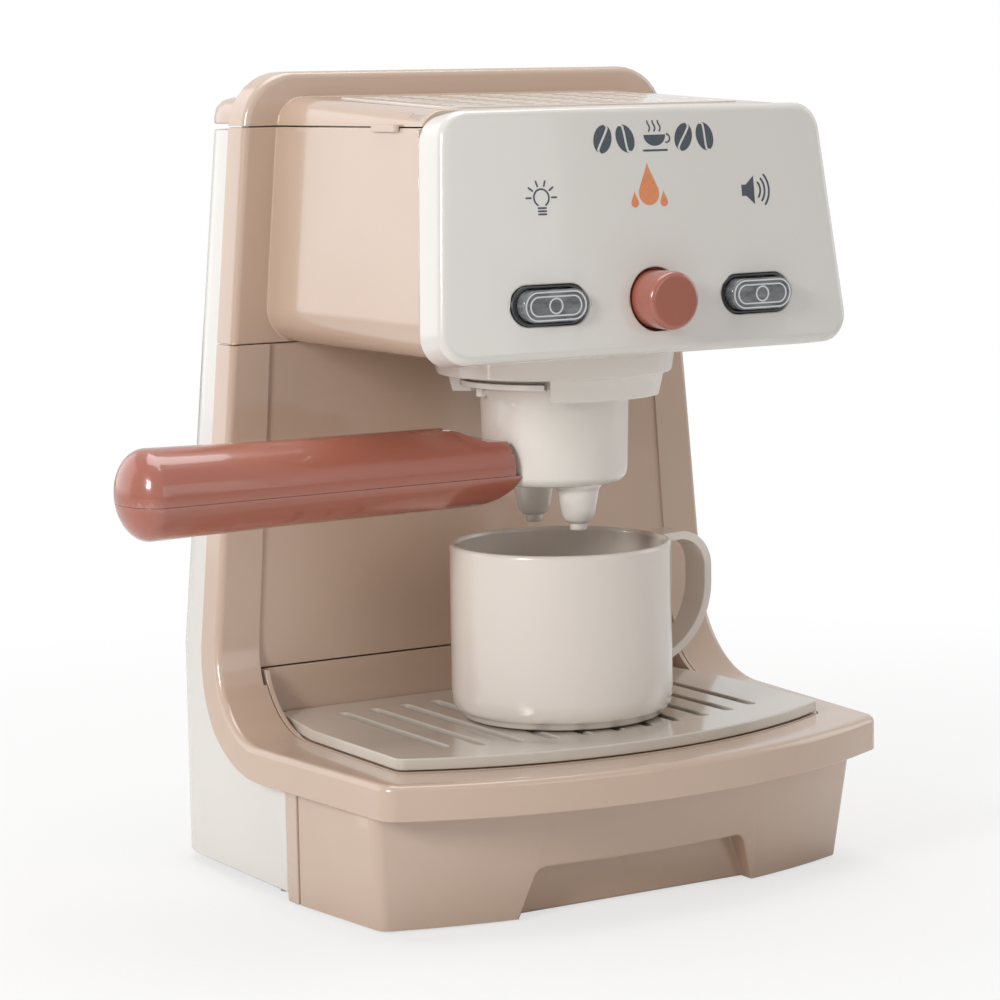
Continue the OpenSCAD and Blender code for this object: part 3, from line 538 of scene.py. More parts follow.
class Shop:
    """Makes meshes, rounds them and puts them on the frame."""

    SAME = 0.002 * MM  # points of a solid that lie this close are one
    MOVED = 0.12 * MM  # and points beside one that was moved
    WELD = 0.075 * MM  # and points that a rounding leaves
    FLAT = math.radians(0.4)  # faces that meet at less are one
    STEPS = 3  # stretches of a rounding
    ROOM = 0.42  # how far a rounding may reach towards the next edge
    STRAY = 0.4  # how far off the skin a point may lie, by the widest rounding

    @staticmethod
    def object_of(name: str, form: Form) -> Piece:
        """Turn a finished form into an object of the scene.

        Args:
            name: The piece's name.
            form: Its form, which is freed.

        Returns:
            The object.
        """
        bmesh.ops.recalc_face_normals(form, faces=form.faces)
        mesh = bpy.data.meshes.new(name)
        form.to_mesh(mesh)
        form.free()
        piece = bpy.data.objects.new(name, mesh)
        bpy.context.scene.collection.objects.link(piece)
        return piece

    @classmethod
    def shade(cls, piece: Piece, sharp: float) -> None:
        """Shade a piece smoothly but for edges sharper than that angle, with flat faces kept flat.

        Args:
            piece: The piece.
            sharp: The angle in radians.
        """
        piece.data.polygons.foreach_set("use_smooth", [True] * len(piece.data.polygons))
        piece.data.set_sharp_from_angle(angle=sharp)
        normals = piece.modifiers.new("flat_faces", "WEIGHTED_NORMAL")
        normals.keep_sharp = True
        normals.weight = 60
        cls.apply(piece)

    @classmethod
    def apply(cls, piece: Piece) -> None:
        """Make a piece's modifiers part of its mesh.

        Args:
            piece: The piece, whose modifiers go.
        """
        bpy.context.view_layer.update()
        seen = piece.evaluated_get(bpy.context.evaluated_depsgraph_get())
        mesh = bpy.data.meshes.new_from_object(seen)
        piece.modifiers.clear()
        piece.data = mesh

    @staticmethod
    def _room(edge: Line, sharp: set[Line]) -> float:
        """Give how wide an edge may be rounded before it meets its neighbours.

        Args:
            edge: The edge.
            sharp: All edges that are rounded.

        Returns:
            The width.
        """
        room = 1.0
        for face in edge.link_faces:
            if len(face.verts) > 4:
                room = min(room, 0.9 * face.calc_area() * 2 / face.calc_perimeter())
        line = (edge.verts[1].co - edge.verts[0].co).normalized()
        for vert in edge.verts:
            for other in vert.link_edges:
                way = (other.verts[1].co - other.verts[0].co).normalized()
                if other is edge or abs(way.dot(line)) > 0.8:
                    continue
                room = min(room, other.calc_length() * (0.5 if other in sharp else 1.0))
        return room

    @classmethod
    def soften(cls, node: str, name: str, edging: Edging) -> Piece:
        """Copy a node's solid and round its edges.

        Args:
            node: The node of the frame.
            name: The new piece's name.
            edging: How its edges are rounded.

        Returns:
            The rounded piece, which stands for the node.
        """
        source = frame["nodes"][node]
        form = cls._solid(source, edging)
        widest = cls._weigh(form, edging)
        piece = cls.object_of(name, form)
        if widest > 0:
            cls._bevel(piece, widest)
            cls._settle(piece, source, edging, cls.STRAY * widest)
            cls._weld(piece)
        cls.shade(piece, edging.sharp)
        cls.stand_for(piece, node)
        return piece

    @classmethod
    def _solid(cls, source: Piece, edging: Edging) -> Form:
        """Copy a solid, move its points and make each flat side one face.

        Args:
            source: The node.
            edging: How it is moved.

        Returns:
            The form.
        """
        form = bmesh.new()
        form.from_mesh(source.data)
        moved = []
        for vert in form.verts:
            spot = edging.moved(vert.co)
            if spot != vert.co:
                vert.co = spot
                moved += [vert, *(edge.other_vert(vert) for edge in vert.link_edges)]
        bmesh.ops.remove_doubles(form, verts=list(dict.fromkeys(moved)), dist=cls.MOVED)
        bmesh.ops.remove_doubles(form, verts=form.verts, dist=cls.SAME)
        bmesh.ops.dissolve_limit(form, angle_limit=cls.FLAT, verts=form.verts, edges=form.edges)
        return form

    @classmethod
    def _weigh(cls, form: Form, edging: Edging) -> float:
        """Mark how far each sharp edge is rounded, as a share of the widest rounding.

        Args:
            form: The form.
            edging: How its edges are rounded.

        Returns:
            The widest rounding.
        """
        weight = form.edges.layers.float.new("bevel_weight_edge")
        sharp = {
            edge for edge in form.edges
            if len(edge.link_faces) == 2 and edge.calc_face_angle(0.0) > edging.sharp
        }
        widest = 0.0
        for run in cls._runs(sharp):
            rooms = sorted(cls._room(edge, sharp) for edge in run)
            wanted = sorted(edging.at((edge.verts[0].co + edge.verts[1].co) / 2) for edge in run)
            width = min(wanted[len(run) // 2], cls.ROOM * rooms[len(run) // 20])
            widest = max(widest, width)
            for edge in run:
                edge[weight] = width
        for edge in sharp:
            edge[weight] /= widest
        return widest

    @classmethod
    def _bevel(cls, piece: Piece, widest: float) -> None:
        """Round the marked edges of a piece.

        Args:
            piece: The piece.
            widest: The rounding at an edge marked with 1.
        """
        bevel = piece.modifiers.new("rounding", "BEVEL")
        bevel.limit_method = "WEIGHT"
        bevel.offset_type = "OFFSET"
        bevel.width = widest
        bevel.segments = cls.STEPS
        bevel.use_clamp_overlap = False
        bevel.loop_slide = False
        cls.apply(piece)

    @staticmethod
    def _runs(sharp: set[Line]) -> list[list[Line]]:
        """Group sharp edges into runs that end where three or more of them meet.

        Args:
            sharp: The edges.

        Returns:
            Edges that follow each other, in lists.
        """
        left = set(sharp)
        runs = []
        while left:
            run = [left.pop()]
            for edge in run:
                for vert in edge.verts:
                    meeting = [other for other in vert.link_edges if other in sharp]
                    fresh = [other for other in meeting if other in left]
                    if len(meeting) == 2 and fresh:
                        left.discard(fresh[0])
                        run.append(fresh[0])
            runs.append(run)
        return runs

    @staticmethod
    def _settle(piece: Piece, source: Piece, edging: Edging, reach: float) -> None:
        """Bring points that left the solid's own skin back to it.

        Args:
            piece: The rounded piece.
            source: The node that it was copied from.
            edging: How it was moved and rounded.
            reach: How far a point may lie off the skin.
        """
        places = [edging.moved(v.co) for v in source.data.vertices]
        skin = BVHTree.FromPolygons(places, [list(p.vertices) for p in source.data.polygons])
        low = [min(place[i] for place in places) for i in range(3)]
        high = [max(place[i] for place in places) for i in range(3)]
        for point in piece.data.vertices:
            spot, _, _, away = skin.find_nearest(point.co)
            if away > reach:
                point.co = spot
            point.co = [min(max(part, a), b) for part, a, b in zip(point.co, low, high)]

    @classmethod
    def _weld(cls, piece: Piece) -> None:
        """Join points that lie close together, so that no face folds over itself.

        Args:
            piece: The rounded piece.
        """
        form = bmesh.new()
        form.from_mesh(piece.data)
        bmesh.ops.remove_doubles(form, verts=form.verts, dist=cls.WELD)
        bmesh.ops.dissolve_degenerate(form, edges=form.edges, dist=0.01 * MM)
        form.to_mesh(piece.data)
        form.free()

    @staticmethod
    def stand_for(piece: Piece, node: str) -> None:
        """Let a piece ride with a node's body and be shown in its place."""
        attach(piece, frame["nodes"][node]["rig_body"])
        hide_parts(node)

    @staticmethod
    def rounded(corners: Sequence[Point], radius: float, steps: int) -> list[Point]:
        """Round the corners of an outline that bulges everywhere.

        Args:
            corners: Its corners, counter-clockwise.
            radius: The radius at each.
            steps: How many stretches an arc has.

        Returns:
            The outline's points.
        """
        points: list[Point] = []
        for i, corner in enumerate(corners):
            here = Vector(corner)
            before = (Vector(corners[i - 1]) - here).normalized()
            after = (Vector(corners[(i + 1) % len(corners)]) - here).normalized()
            half = before.angle(after) / 2
            centre = here + (before + after).normalized() * radius / math.sin(half)
            start = here + before * radius / math.tan(half) - centre
            turn = (math.pi - 2 * half) / steps
            points += [tuple(centre + Matrix.Rotation(turn * k, 2) @ start) for k in range(steps + 1)]
        return points


# ---------------------------------------------------------------- sub-assemblies


class Assembly:
    """A sub-assembly, with what all of them share."""

    def add(self, piece: Piece, look: Look) -> Piece:
        """Give a new piece its finish, and report it.

        Args:
            piece: The piece, already on its body.
            look: Its finish.

        Returns:
            The same piece.
        """
        look.put_on(piece)
        LOG.info("%s: %d faces, %s", piece.name, len(piece.data.polygons), look.name.lower())
        return piece

    def dress(self, nodes: Iterable[str], look: Look) -> None:
        """Give nodes of the frame that keep their own form a finish.

        Args:
            nodes: The nodes' names.
            look: Their finish.
        """
        for name in nodes:
            node = frame["nodes"][name]
            look.put_on(node)
            LOG.info("%s: kept as it is, %s", name, look.name.lower())

    def soften(self, nodes: Iterable[str], look: Look, edging: Edging) -> None:
        """Round the edges of nodes and dress them."""
        for name in nodes:
            self.add(Shop.soften(name, f"{name}_moulding", edging), look)


@dataclass
class Shells(Assembly):
    """The outer mouldings of the body."""

    flange_front: float = 38 * MM
    outer_half: float = 74 * MM
    arch_foot: float = 250 * MM
    lip_front: float = -68.8 * MM
    lip_half: float = 81 * MM
    flange_edge: float = 2.3 * MM
    plain_edge: float = 0.45 * MM
    sweep_centre: Point = (9 * MM, 77 * MM)
    sweep_radius: float = 29 * MM
    guide_end: Point = (-40 * MM, 243.2 * MM)
    guide_sides: tuple[float, float, float] = (63.3 * MM, 64 * MM, 65 * MM)
    guide_sunk: Point = (242.1 * MM, 240.9 * MM)

    def depth(self, spot: Vector) -> float:
        """Give how far a spot lies behind the face that sweeps from the wall into the lip.

        Args:
            spot: A place on the lower frame.

        Returns:
            The distance, below 0 in front of that face.
        """
        along, up = spot.y - self.sweep_centre[0], spot.z - self.sweep_centre[1]
        if up > 0:
            return along - self.sweep_radius
        if along < 0:
            return -up - self.sweep_radius
        return math.hypot(along, up) - self.sweep_radius

    def frame_edge(self, spot: Vector) -> float:
        """Give the rounding on the lower frame: wide along the front rim, small elsewhere.

        Args:
            spot: The middle of an edge.

        Returns:
            The width.
        """
        if abs(self.depth(spot)) > 0.3 * MM:
            return self.plain_edge
        outer = spot.y < self.lip_front or abs(spot.x) > self.lip_half
        return self.flange_edge if outer else self.plain_edge

    def head_edge(self, spot: Vector) -> float:
        """Give the rounding on the two upper mouldings.

        Args:
            spot: The middle of an edge.

        Returns:
            The width.
        """
        rim = abs(spot.y - self.flange_front) < 0.2 * MM
        outer = abs(spot.x) > self.outer_half or spot.z > self.arch_foot
        return self.flange_edge if rim and outer else self.plain_edge

    def guide_top(self, spot: Vector) -> Vector:
        """Sink the front ends of the lid's two guides under its shoulders.

        Args:
            spot: A point of the lid.

        Returns:
            Where it goes.
        """
        inner, middle, outer = self.guide_sides
        away = max(abs(spot.y - self.guide_end[0]), abs(spot.z - self.guide_end[1]))
        if away < 0.1 * MM and inner < abs(spot.x) < outer:
            return Vector((spot.x, spot.y, self.guide_sunk[abs(spot.x) > middle]))
        return spot.copy()

    def build(self) -> None:
        """Make the body's shells."""
        self.soften(["lower_frame"], Look.TAN, Edging(wide=self.frame_edge))
        self.soften(["upper_housing"], Look.TAN, Edging(wide=self.head_edge))
        self.soften(["top_lid"], Look.TAN, Edging(wide=self.head_edge, shift=self.guide_top))
        self.soften(["rear_shell"], Look.CREAM, Edging(0.8 * MM))
        self.soften(["base_plate"], Look.CREAM, Edging(0.5 * MM))
        self.soften(["battery_cover"], Look.CREAM, Edging(0.4 * MM))
        self.soften(["warmer_plate"], Look.WHITE, Edging(0.25 * MM))
        self.dress(["rubber_feet"], Look.RUBBER)


@dataclass
class Tray(Assembly):
    """The tray insert, the drip grille and the drawer."""

    strip_top: float = 65.4 * MM
    strip_lift: float = 1.0 * MM

    def raised(self, spot: Vector) -> Vector:
        """Raise the top of the insert's back strip to just under the wall."""
        return spot + Vector((0, 0, self.strip_lift)) if spot.z > self.strip_top else spot.copy()

    def build(self) -> None:
        """Make the tray's pieces."""
        self.soften(["tray_insert"], Look.TAN, Edging(0.35 * MM, shift=self.raised))
        self.soften(["grille_plate"], Look.GRILLE, Edging(0.5 * MM))
        self.soften(["drip_drawer"], Look.TAN, Edging(0.9 * MM))


@dataclass
class Brewer(Assembly):
    """The group collar and the portafilter that hangs in it."""

    def build(self) -> None:
        """Make the brewing pieces."""
        self.soften(["group_head", "portafilter_cup"], Look.WHITE, Edging(0.5 * MM))
        self.soften(["handle_upper", "handle_lower"], Look.TERRACOTTA, Edging(0.35 * MM))
        self.dress(["filter_basket", "handle_screws"], Look.STEEL)
        self.dress(["group_seal"], Look.RUBBER)


@dataclass
class Mug(Assembly):
    """The mug that stands on the grille."""

    def build(self) -> None:
        """Make the mug."""
        self.soften(["mug"], Look.MUG, Edging(0.9 * MM))


@dataclass(frozen=True)
class Slot:
    """A round-ended opening seen from the front, round where it is as wide as it is high."""

    x: float
    z: float
    wide: float
    high: float

    STEPS = 24

    @property
    def reach(self) -> float:
        """How far the middles of the two round ends lie from the opening's own middle."""
        return (self.wide - self.high) / 2

    def outline(self, grow: float) -> list[Point]:
        """Give its outline, counter-clockwise.

        Args:
            grow: How far outside the opening the outline runs.

        Returns:
            Points across and up, with STEPS stretches to each round end.
        """
        radius = self.high / 2 + grow
        points = []
        for side in (1, -1):
            for i in range(self.STEPS + (self.reach > 0)):
                angle = math.radians(180 * i / self.STEPS - side * 90)
                x = self.x + side * self.reach + radius * math.cos(angle)
                points.append((x, self.z + radius * math.sin(angle)))
        return points

    def holds(self, x: float, z: float, margin: float) -> bool:
        """Say whether a place lies inside the opening or within that margin of it."""
        along = max(0.0, abs(x - self.x) - self.reach)
        return math.hypot(along, z - self.z) < self.high / 2 + margin


@dataclass(frozen=True)
class Sign:
    """A place on the panel, in metres, with the outlines of the signs that can be printed there."""

    x: float
    z: float

    def at(self, points: Iterable[Sequence[float]]) -> list[Point]:
        """Carry points that are given in millimetres to around the place."""
        return [(self.x + px * MM, self.z + pz * MM) for px, pz in points]

    def polar(self, radius: float, angle: float) -> Point:
        """Give the point at that radius and angle, in degrees, about the place."""
        turn = math.radians(angle)
        return (self.x + radius * math.cos(turn), self.z + radius * math.sin(turn))

    def arc(self, radius: float, start: float, end: float, steps: int) -> list[Point]:
        """Give points along an arc between two angles in degrees."""
        return [self.polar(radius, start + (end - start) * i / steps) for i in range(steps + 1)]

    @staticmethod
    def stroke(path: Sequence[Point], width: float) -> list[Point]:
        """Give the outline of a line of that width along a path, with round ends.

        Args:
            path: The line's points.
            width: Its full width.

        Returns:
            A closed outline.
        """
        points = [Vector(p) for p in path]
        ways = [(b - a).normalized() for a, b in zip(points, points[1:])]
        sides = []
        for i, spot in enumerate(points):
            way = (ways[max(0, i - 1)] + ways[min(i, len(ways) - 1)]).normalized()
            sides.append((spot, Vector((-way.y, way.x)) * (width / 2)))
        left = [spot + side for spot, side in sides]
        right = [spot - side for spot, side in reversed(sides)]
        caps = [
            [spot + Matrix.Rotation(-math.pi * k / 5, 2) @ (side * sign) for k in range(1, 5)]
            for sign, (spot, side) in ((1, sides[-1]), (-1, sides[0]))
        ]
        return [(p.x, p.y) for p in left + caps[0] + right + caps[1]]

    def drop(self, radius: float, tip: float) -> list[Point]:
        """Give a drop's outline: a round belly that rises to a tip.

        Args:
            radius: The belly's radius.
            tip: How far the tip lies above the belly's middle.

        Returns:
            The outline.
        """
        belly = self.arc(radius, 150, 390, 20)
        steps = 6
        rise = [
            (self.x + radius * math.cos(math.radians(30)) * (1 - k / steps) ** 1.25,
             self.z + radius * 0.5 + (tip - radius * 0.5) * (k / steps) ** 0.9)
            for k in range(1, steps + 1)
        ]
        back = [(2 * self.x - px, pz) for px, pz in reversed(rise[:-1])]
        return belly + rise + back

    def lamp(self) -> list[list[Point]]:
        """Give a lamp sign: a ring of glass, a screw base and rays above.

        Returns:
            Its outlines.
        """
        width = 0.55 * MM
        glass = self.stroke(self.arc(2.5 * MM, -58, 238, 26), width)
        base = [self.stroke(self.at([(-1.25, -k), (1.25, -k)]), width) for k in (3.0, 3.9, 4.8)]
        rays = [
            self.stroke([self.polar(radius, angle) for radius in (3.5 * MM, 5 * MM)], width)
            for angle in range(0, 181, 36)
        ]
        return [glass, *base, *rays]

    def horn(self) -> list[list[Point]]:
        """Give a loudspeaker sign: a horn with three waves.

        Returns:
            Its outlines.
        """
        body = [(-4.6, -1.7), (-2.9, -1.7), (0.2, -4.3), (0.2, 4.3), (-2.9, 1.7), (-4.6, 1.7)]
        throat = Sign(self.x - 0.6 * MM, self.z)
        waves = [self.stroke(throat.arc(r * MM, -42, 42, 12), 0.7 * MM) for r in (3.2, 4.9, 6.6)]
        return [self.at(body), *waves]

    def bean(self, lean: float) -> list[list[Point]]:
        """Give a bean sign: two halves with a gap that curves between them.

        Args:
            lean: The angle in degrees that it is turned by.

        Returns:
            Its outlines.
        """
        spin = Matrix.Rotation(math.radians(lean), 2)
        halves = []
        for side in (-1, 1):
            rim = [
                (side * 3.1 * math.sin(math.radians(a)), 4.3 * math.cos(math.radians(a)))
                for a in range(10, 171, 16)
            ]
            gap = [
                (0.75 * math.sin(math.radians(t * 80)) + side * 0.38, -4.1 + 8.2 * (t + 1) / 2)
                for t in (-0.9, -0.6, -0.3, 0, 0.3, 0.6, 0.9)
            ]
            halves.append(self.at([spin @ Vector(point) for point in rim + gap]))
        return halves

    def cup(self) -> list[list[Point]]:
        """Give a cup sign: a bowl with its ear, a saucer line and three curls of steam.

        Returns:
            Its outlines.
        """
        bowl = [(-3.9, 1.2), (3.9, 1.2)] + Sign(0, 1.2).arc(3.9, 0, -180, 16)[1:-1]
        shape = self.at([(px, pz * 0.85) for px, pz in bowl])
        ear = self.stroke(self.at(Sign(4.2, -0.1).arc(1.25, 80, -100, 8)), 0.5 * MM)
        saucer = self.stroke(self.at([(-4.2, -3.6), (4.2, -3.6)]), 0.6 * MM)
        steam = []
        for across in (-1.9, 0, 1.9):
            rise = (0, 0.2, 0.4, 0.6, 0.8, 1.0)
            curl = [(across + 0.42 * math.sin(t * 5), 2.1 + t * 3.0) for t in rise]
            steam.append(self.stroke(self.at(curl), 0.5 * MM))
        return [shape, ear, saucer, *steam]


@dataclass
class Panel(Assembly):
    """The control panel with its prints."""

    foot: Point = (-70.9 * MM, 169.8 * MM)
    lean: float = math.radians(7.07)
    high: float = 73.3 * MM
    low_half: float = 73.9 * MM
    top_half: float = 67.5 * MM
    corner: float = 9 * MM
    rounding: float = 2.6 * MM
    bow: float = 680 * MM
    rise: float = 3.9 * MM
    back: float = 12 * MM
    wall: float = 2.6 * MM
    lap: float = 0.3 * MM
    shrink: float = 0.2 * MM
    soft: float = 0.45 * MM
    ledge: float = 0.25 * MM
    sharp: float = math.radians(30)
    turns: int = 8
    stretches: int = 40
    grid: float = 3 * MM
    holes: tuple[Slot, ...] = (
        Slot(0.0, BUTTON_ROW, 19.1 * MM, 19.1 * MM),
        Slot(-BUTTON_SPREAD, BUTTON_ROW, 26.6 * MM, 12.1 * MM),
        Slot(BUTTON_SPREAD, BUTTON_ROW, 26.6 * MM, 12.1 * MM),
    )
    posts: tuple[Point, ...] = tuple((x * MM, z * MM) for x in (-53, 53) for z in (178.5, 198))
    post_root: float = 0.4 * MM
    post_sides: int = 24
    post_half: float = 3 * MM
    bore_half: float = 1.05 * MM
    bore_floor: float = 1.5 * MM
    post_end: float = -61.5 * MM
    ink: float = 0.05 * MM
    lamp_at: Point = (-37.2 * MM, 217.2 * MM)
    horn_at: Point = (39 * MM, 217 * MM)
    drop_at: Point = (0.0, 217.4 * MM)
    drip_at: Point = (5.2 * MM, 214.6 * MM)
    cup_at: Point = (3.5 * MM, 233.5 * MM)
    bean_height: float = 233.6 * MM
    beans: tuple[Point, ...] = ((10.5, -22), (18.4, 18))

    def surface(self, across: float, up: float, depth: float = 0.0) -> float:
        """Give how far back the panel's face lies at a place across and up, plus a depth."""
        back = (self.bowed(across) + depth) / math.cos(self.lean)
        return self.foot[0] + (up - self.foot[1]) * math.tan(self.lean) + back

    def outline(self, inset: float) -> list[Point]:
        """Give the panel's outline across and up the lean, moved inwards.

        Args:
            inset: How far inside the panel's own outline it runs.

        Returns:
            The outline's points, as many for any inset, so that outlines can be joined.
        """
        length = self.high / math.cos(self.lean)
        slope = (self.low_half - self.top_half) / length
        low = self.low_half - inset * math.hypot(1, slope) - inset * slope
        top = self.top_half - inset * math.hypot(1, slope) + inset * slope
        corners = [(-low, inset), (low, inset), (top, length - inset), (-top, length - inset)]
        curved = Shop.rounded(corners, self.corner - inset, self.turns)
        points: list[Point] = []
        for start in range(0, len(curved), self.turns + 1):
            here = curved[start : start + self.turns + 1]
            (x, z), after = here[-1], curved[(start + self.turns + 1) % len(curved)]
            points += here
            points += [
                (x + (after[0] - x) * k / self.stretches, z + (after[1] - z) * k / self.stretches)
                for k in range(1, self.stretches)
            ]
        return points

    def spot(self, across: float, along: float, depth: float) -> Vector:
        """Give the place of a point of the leaning panel."""
        turn = Matrix.Rotation(-self.lean, 3, "X")
        return Vector((0, *self.foot)) + turn @ Vector((across, depth, along))

    def bowed(self, across: float) -> float:
        """Give the depth of the bowed face under the panel's own plane."""
        return self.bow - self.rise - math.sqrt(self.bow**2 - across**2)

    def fill(self, form: Form, rim: Ring, holes: Sequence[Ring], depth: float) -> None:
        """Fill a face of the panel between its rim and its openings.

        Args:
            form: The mesh.
            rim: The face's outer points.
            holes: The points around each opening.
            depth: How far the face lies behind the outer one.
        """
        known = [vert for ring in (rim, *holes) for vert in ring]
        edges: list[tuple[int, int]] = []
        for ring in (rim, *holes):
            start = len(edges)
            edges += [(start + i, start + (i + 1) % len(ring)) for i in range(len(ring))]
        spots = [Vector((vert.co.x, vert.co.z)) for vert in known]
        low, high = min(v.co.z for v in rim), max(v.co.z for v in rim)
        columns, rows = int(self.low_half / self.grid), int(self.high / self.grid)
        for i in range(-columns, columns + 1):
            for k in range(1, rows + 1):
                x, z = i * self.grid, low + k * self.grid
                half = self.low_half + (self.top_half - self.low_half) * (z - low) / (high - low)
                inside = abs(x) < half - 2 * self.grid and z < high - self.grid
                if inside and not any(hole.holds(x, z, 0.6 * self.grid) for hole in self.holes):
                    spots.append(Vector((x, z)))
        places, _, faces, origin, _, _ = delaunay_2d_cdt(spots, edges, [], 1, 1e-7)
        verts = []
        for place, source in zip(places, origin):
            if source and source[0] < len(known):
                verts.append(known[source[0]])
            else:
                verts.append(form.verts.new((place.x, self.surface(*place, depth), place.y)))
        for face in faces:
            middle = sum((places[i] for i in face), Vector((0, 0))) / len(face)
            if not any(hole.holds(*middle, 0) for hole in self.holes):
                form.faces.new([verts[i] for i in face])

    @staticmethod
    def join(form: Form, rings: Sequence[Ring]) -> None:
        """Join closed rings of as many points each with four-sided faces.

        Args:
            form: The mesh.
            rings: The rings, each joined to the next.
        """
        for first, second in zip(rings, rings[1:]):
            for i in range(len(first)):
                j = (i + 1) % len(first)
                form.faces.new([first[i], first[j], second[j], second[i]])

    def casing(self) -> Piece:
        """Make the panel's shell: bowed face, round rim, openings and posts.

        Returns:
            The panel, which stands for its node.
        """
        form = bmesh.new()

        def ring(inset: float, depth: float, follow: bool = True) -> Ring:
            """Add a ring of the outline.

            Args:
                inset: How far inside the outline it runs.
                depth: How far it lies behind the face, or behind the panel's plane.
                follow: Whether it follows the bowed face.

            Returns:
                Its points.
            """
            return [
                form.verts.new(self.spot(x, h, depth + (self.bowed(x) if follow else 0)))
                for x, h in self.outline(inset)
            ]

        quarter = [math.radians(90 * i / self.turns) for i in range(self.turns + 1)]
        rim = [
            ring(self.rounding * (1 - math.cos(a)), self.rounding * (1 - math.sin(a))) for a in quarter
        ]
        held = ring(self.rounding + self.lap, 0)
        inset = self.wall + self.shrink
        inner = [ring(inset, self.wall), ring(inset, self.back, False)]
        self.join(form, [*inner, ring(0, self.back, False), *rim, held])
        front, behind = [], []
        for hole in self.holes:
            steps = [
                (self.soft * (1 - math.sin(a)), self.soft * (1 - math.cos(a))) for a in quarter[::2]
            ]
            rings = [
                [form.verts.new((x, self.surface(x, z, depth), z)) for x, z in hole.outline(grow)]
                for grow, depth in [(self.soft + self.ledge, 0.0), *steps, (0.0, self.wall)]
            ]
            self.join(form, rings)
            front.append(rings[0])
            behind.append(rings[-1])
        self.fill(form, held, front, 0.0)
        self.fill(form, inner[0], behind, self.wall)
        for x, z in self.posts:
            self.post(form, x, z)
        panel = Shop.object_of("front_panel_casing", form)
        Shop.shade(panel, self.sharp)
        Shop.stand_for(panel, "front_panel")
        return self.add(panel, Look.CREAM)

    def post(self, form: Form, x: float, z: float) -> None:
        """Add a bored screw post behind the panel's wall.

        Args:
            form: The mesh.
            x: Where the post is across the panel.
            z: How high it is.
        """
        start = self.surface(x, z, self.wall - self.post_root)
        profile = [
            (self.post_half, start), (self.post_half, self.post_end),
            (self.bore_half, self.post_end), (self.bore_half, start + self.bore_floor),
        ]
        turns = [2 * math.pi * k / self.post_sides for k in range(self.post_sides)]
        rounds = [
            [form.verts.new((x + half * math.cos(a), y, z + half * math.sin(a))) for a in turns]
            for half, y in profile
        ]
        self.join(form, rounds)
        form.faces.new(rounds[0])
        form.faces.new(rounds[-1])

    def plate(self, name: str, outlines: Sequence[Sequence[Point]], look: Look) -> None:
        """Lay thin closed plates of ink on the panel.

        Args:
            name: The print's name.
            outlines: Closed outlines across and up the panel, in metres.
            look: The ink.
        """
        form = bmesh.new()
        for outline in outlines:
            top = [form.verts.new((x, self.surface(x, z) - self.ink, z)) for x, z in outline]
            low = [form.verts.new((x, self.surface(x, z) + self.ink, z)) for x, z in outline]
            caps = [form.faces.new(top), form.faces.new(low[::-1])]
            for i in range(len(top)):
                j = (i + 1) % len(top)
                form.faces.new([top[j], top[i], low[i], low[j]])
            bmesh.ops.triangulate(form, faces=caps)
        piece = Shop.object_of(name, form)
        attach(piece, "housing")
        self.add(piece, look)

    def build(self) -> None:
        """Make the panel and its prints."""
        self.casing()
        self.plate("lamp_print", Sign(*self.lamp_at).lamp(), Look.GREY_INK)
        self.plate("sound_print", Sign(*self.horn_at).horn(), Look.GREY_INK)
        away, low = self.drip_at
        drops = [Sign(*self.drop_at).drop(3.6 * MM, 9 * MM)]
        drops += [Sign(side * away, low).drop(1.35 * MM, 3.4 * MM) for side in (-1, 1)]
        self.plate("drop_print", drops, Look.WARM_INK)
        sign = Sign(*self.cup_at).cup()
        for side in (-1, 1):
            for away, lean in self.beans:
                place = Sign(self.cup_at[0] + side * away * MM, self.bean_height)
                sign += place.bean(side * lean)
        self.plate("bean_print", sign, Look.GREY_INK)


@dataclass
class Controls(Assembly):
    """The pump button, the two clear buttons and what they press."""

    cap_front: float = -74.9 * MM
    rib_rise: float = 0.12 * MM
    rib_root: float = 0.2 * MM
    rib_half: float = 0.22 * MM
    ribs: tuple[Point, ...] = ((17.5 * MM, 5.6 * MM), (4.4 * MM, 4.4 * MM), (20.6 * MM, 8.2 * MM))

    def rib(self, side: str, x: float) -> None:
        """Raise the thin ribs on the front of a clear button, pale and opaque as a painted highlight
        along its outlines.

        Args:
            side: Which button it is, light or sound.
            x: Where its middle is across the panel.
        """
        form = bmesh.new()
        root, rise, half = self.rib_root, -self.rib_rise, self.rib_half
        for wide, high in self.ribs:
            loop = Slot(x, BUTTON_ROW, wide, high)
            rings = [
                [form.verts.new((px, self.cap_front + depth, pz)) for px, pz in loop.outline(grow)]
                for grow, depth in ((half, root), (half, rise), (-half, rise), (-half, root))
            ]
            Panel.join(form, [*rings, rings[0]])
        piece = Shop.object_of(f"{side}_button_ribs", form)
        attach(piece, f"{side}_key")
        self.add(piece, Look.RIB)

    def build(self) -> None:
        """Make the controls."""
        self.soften(["pump_button"], Look.TERRACOTTA, Edging(0.3 * MM))
        for side in ("light", "sound"):
            self.soften([f"{side}_bezel"], Look.DARK, Edging(0.25 * MM))
            self.soften([f"{side}_button"], Look.CAP, Edging(0.5 * MM))
        self.rib("light", -BUTTON_SPREAD)
        self.rib("sound", BUTTON_SPREAD)
        self.dress(["light_switch", "sound_switch"], Look.DARK)
        self.dress(["light_led", "sound_led"], Look.LED)
        self.dress(["circuit_board"], Look.BOARD)


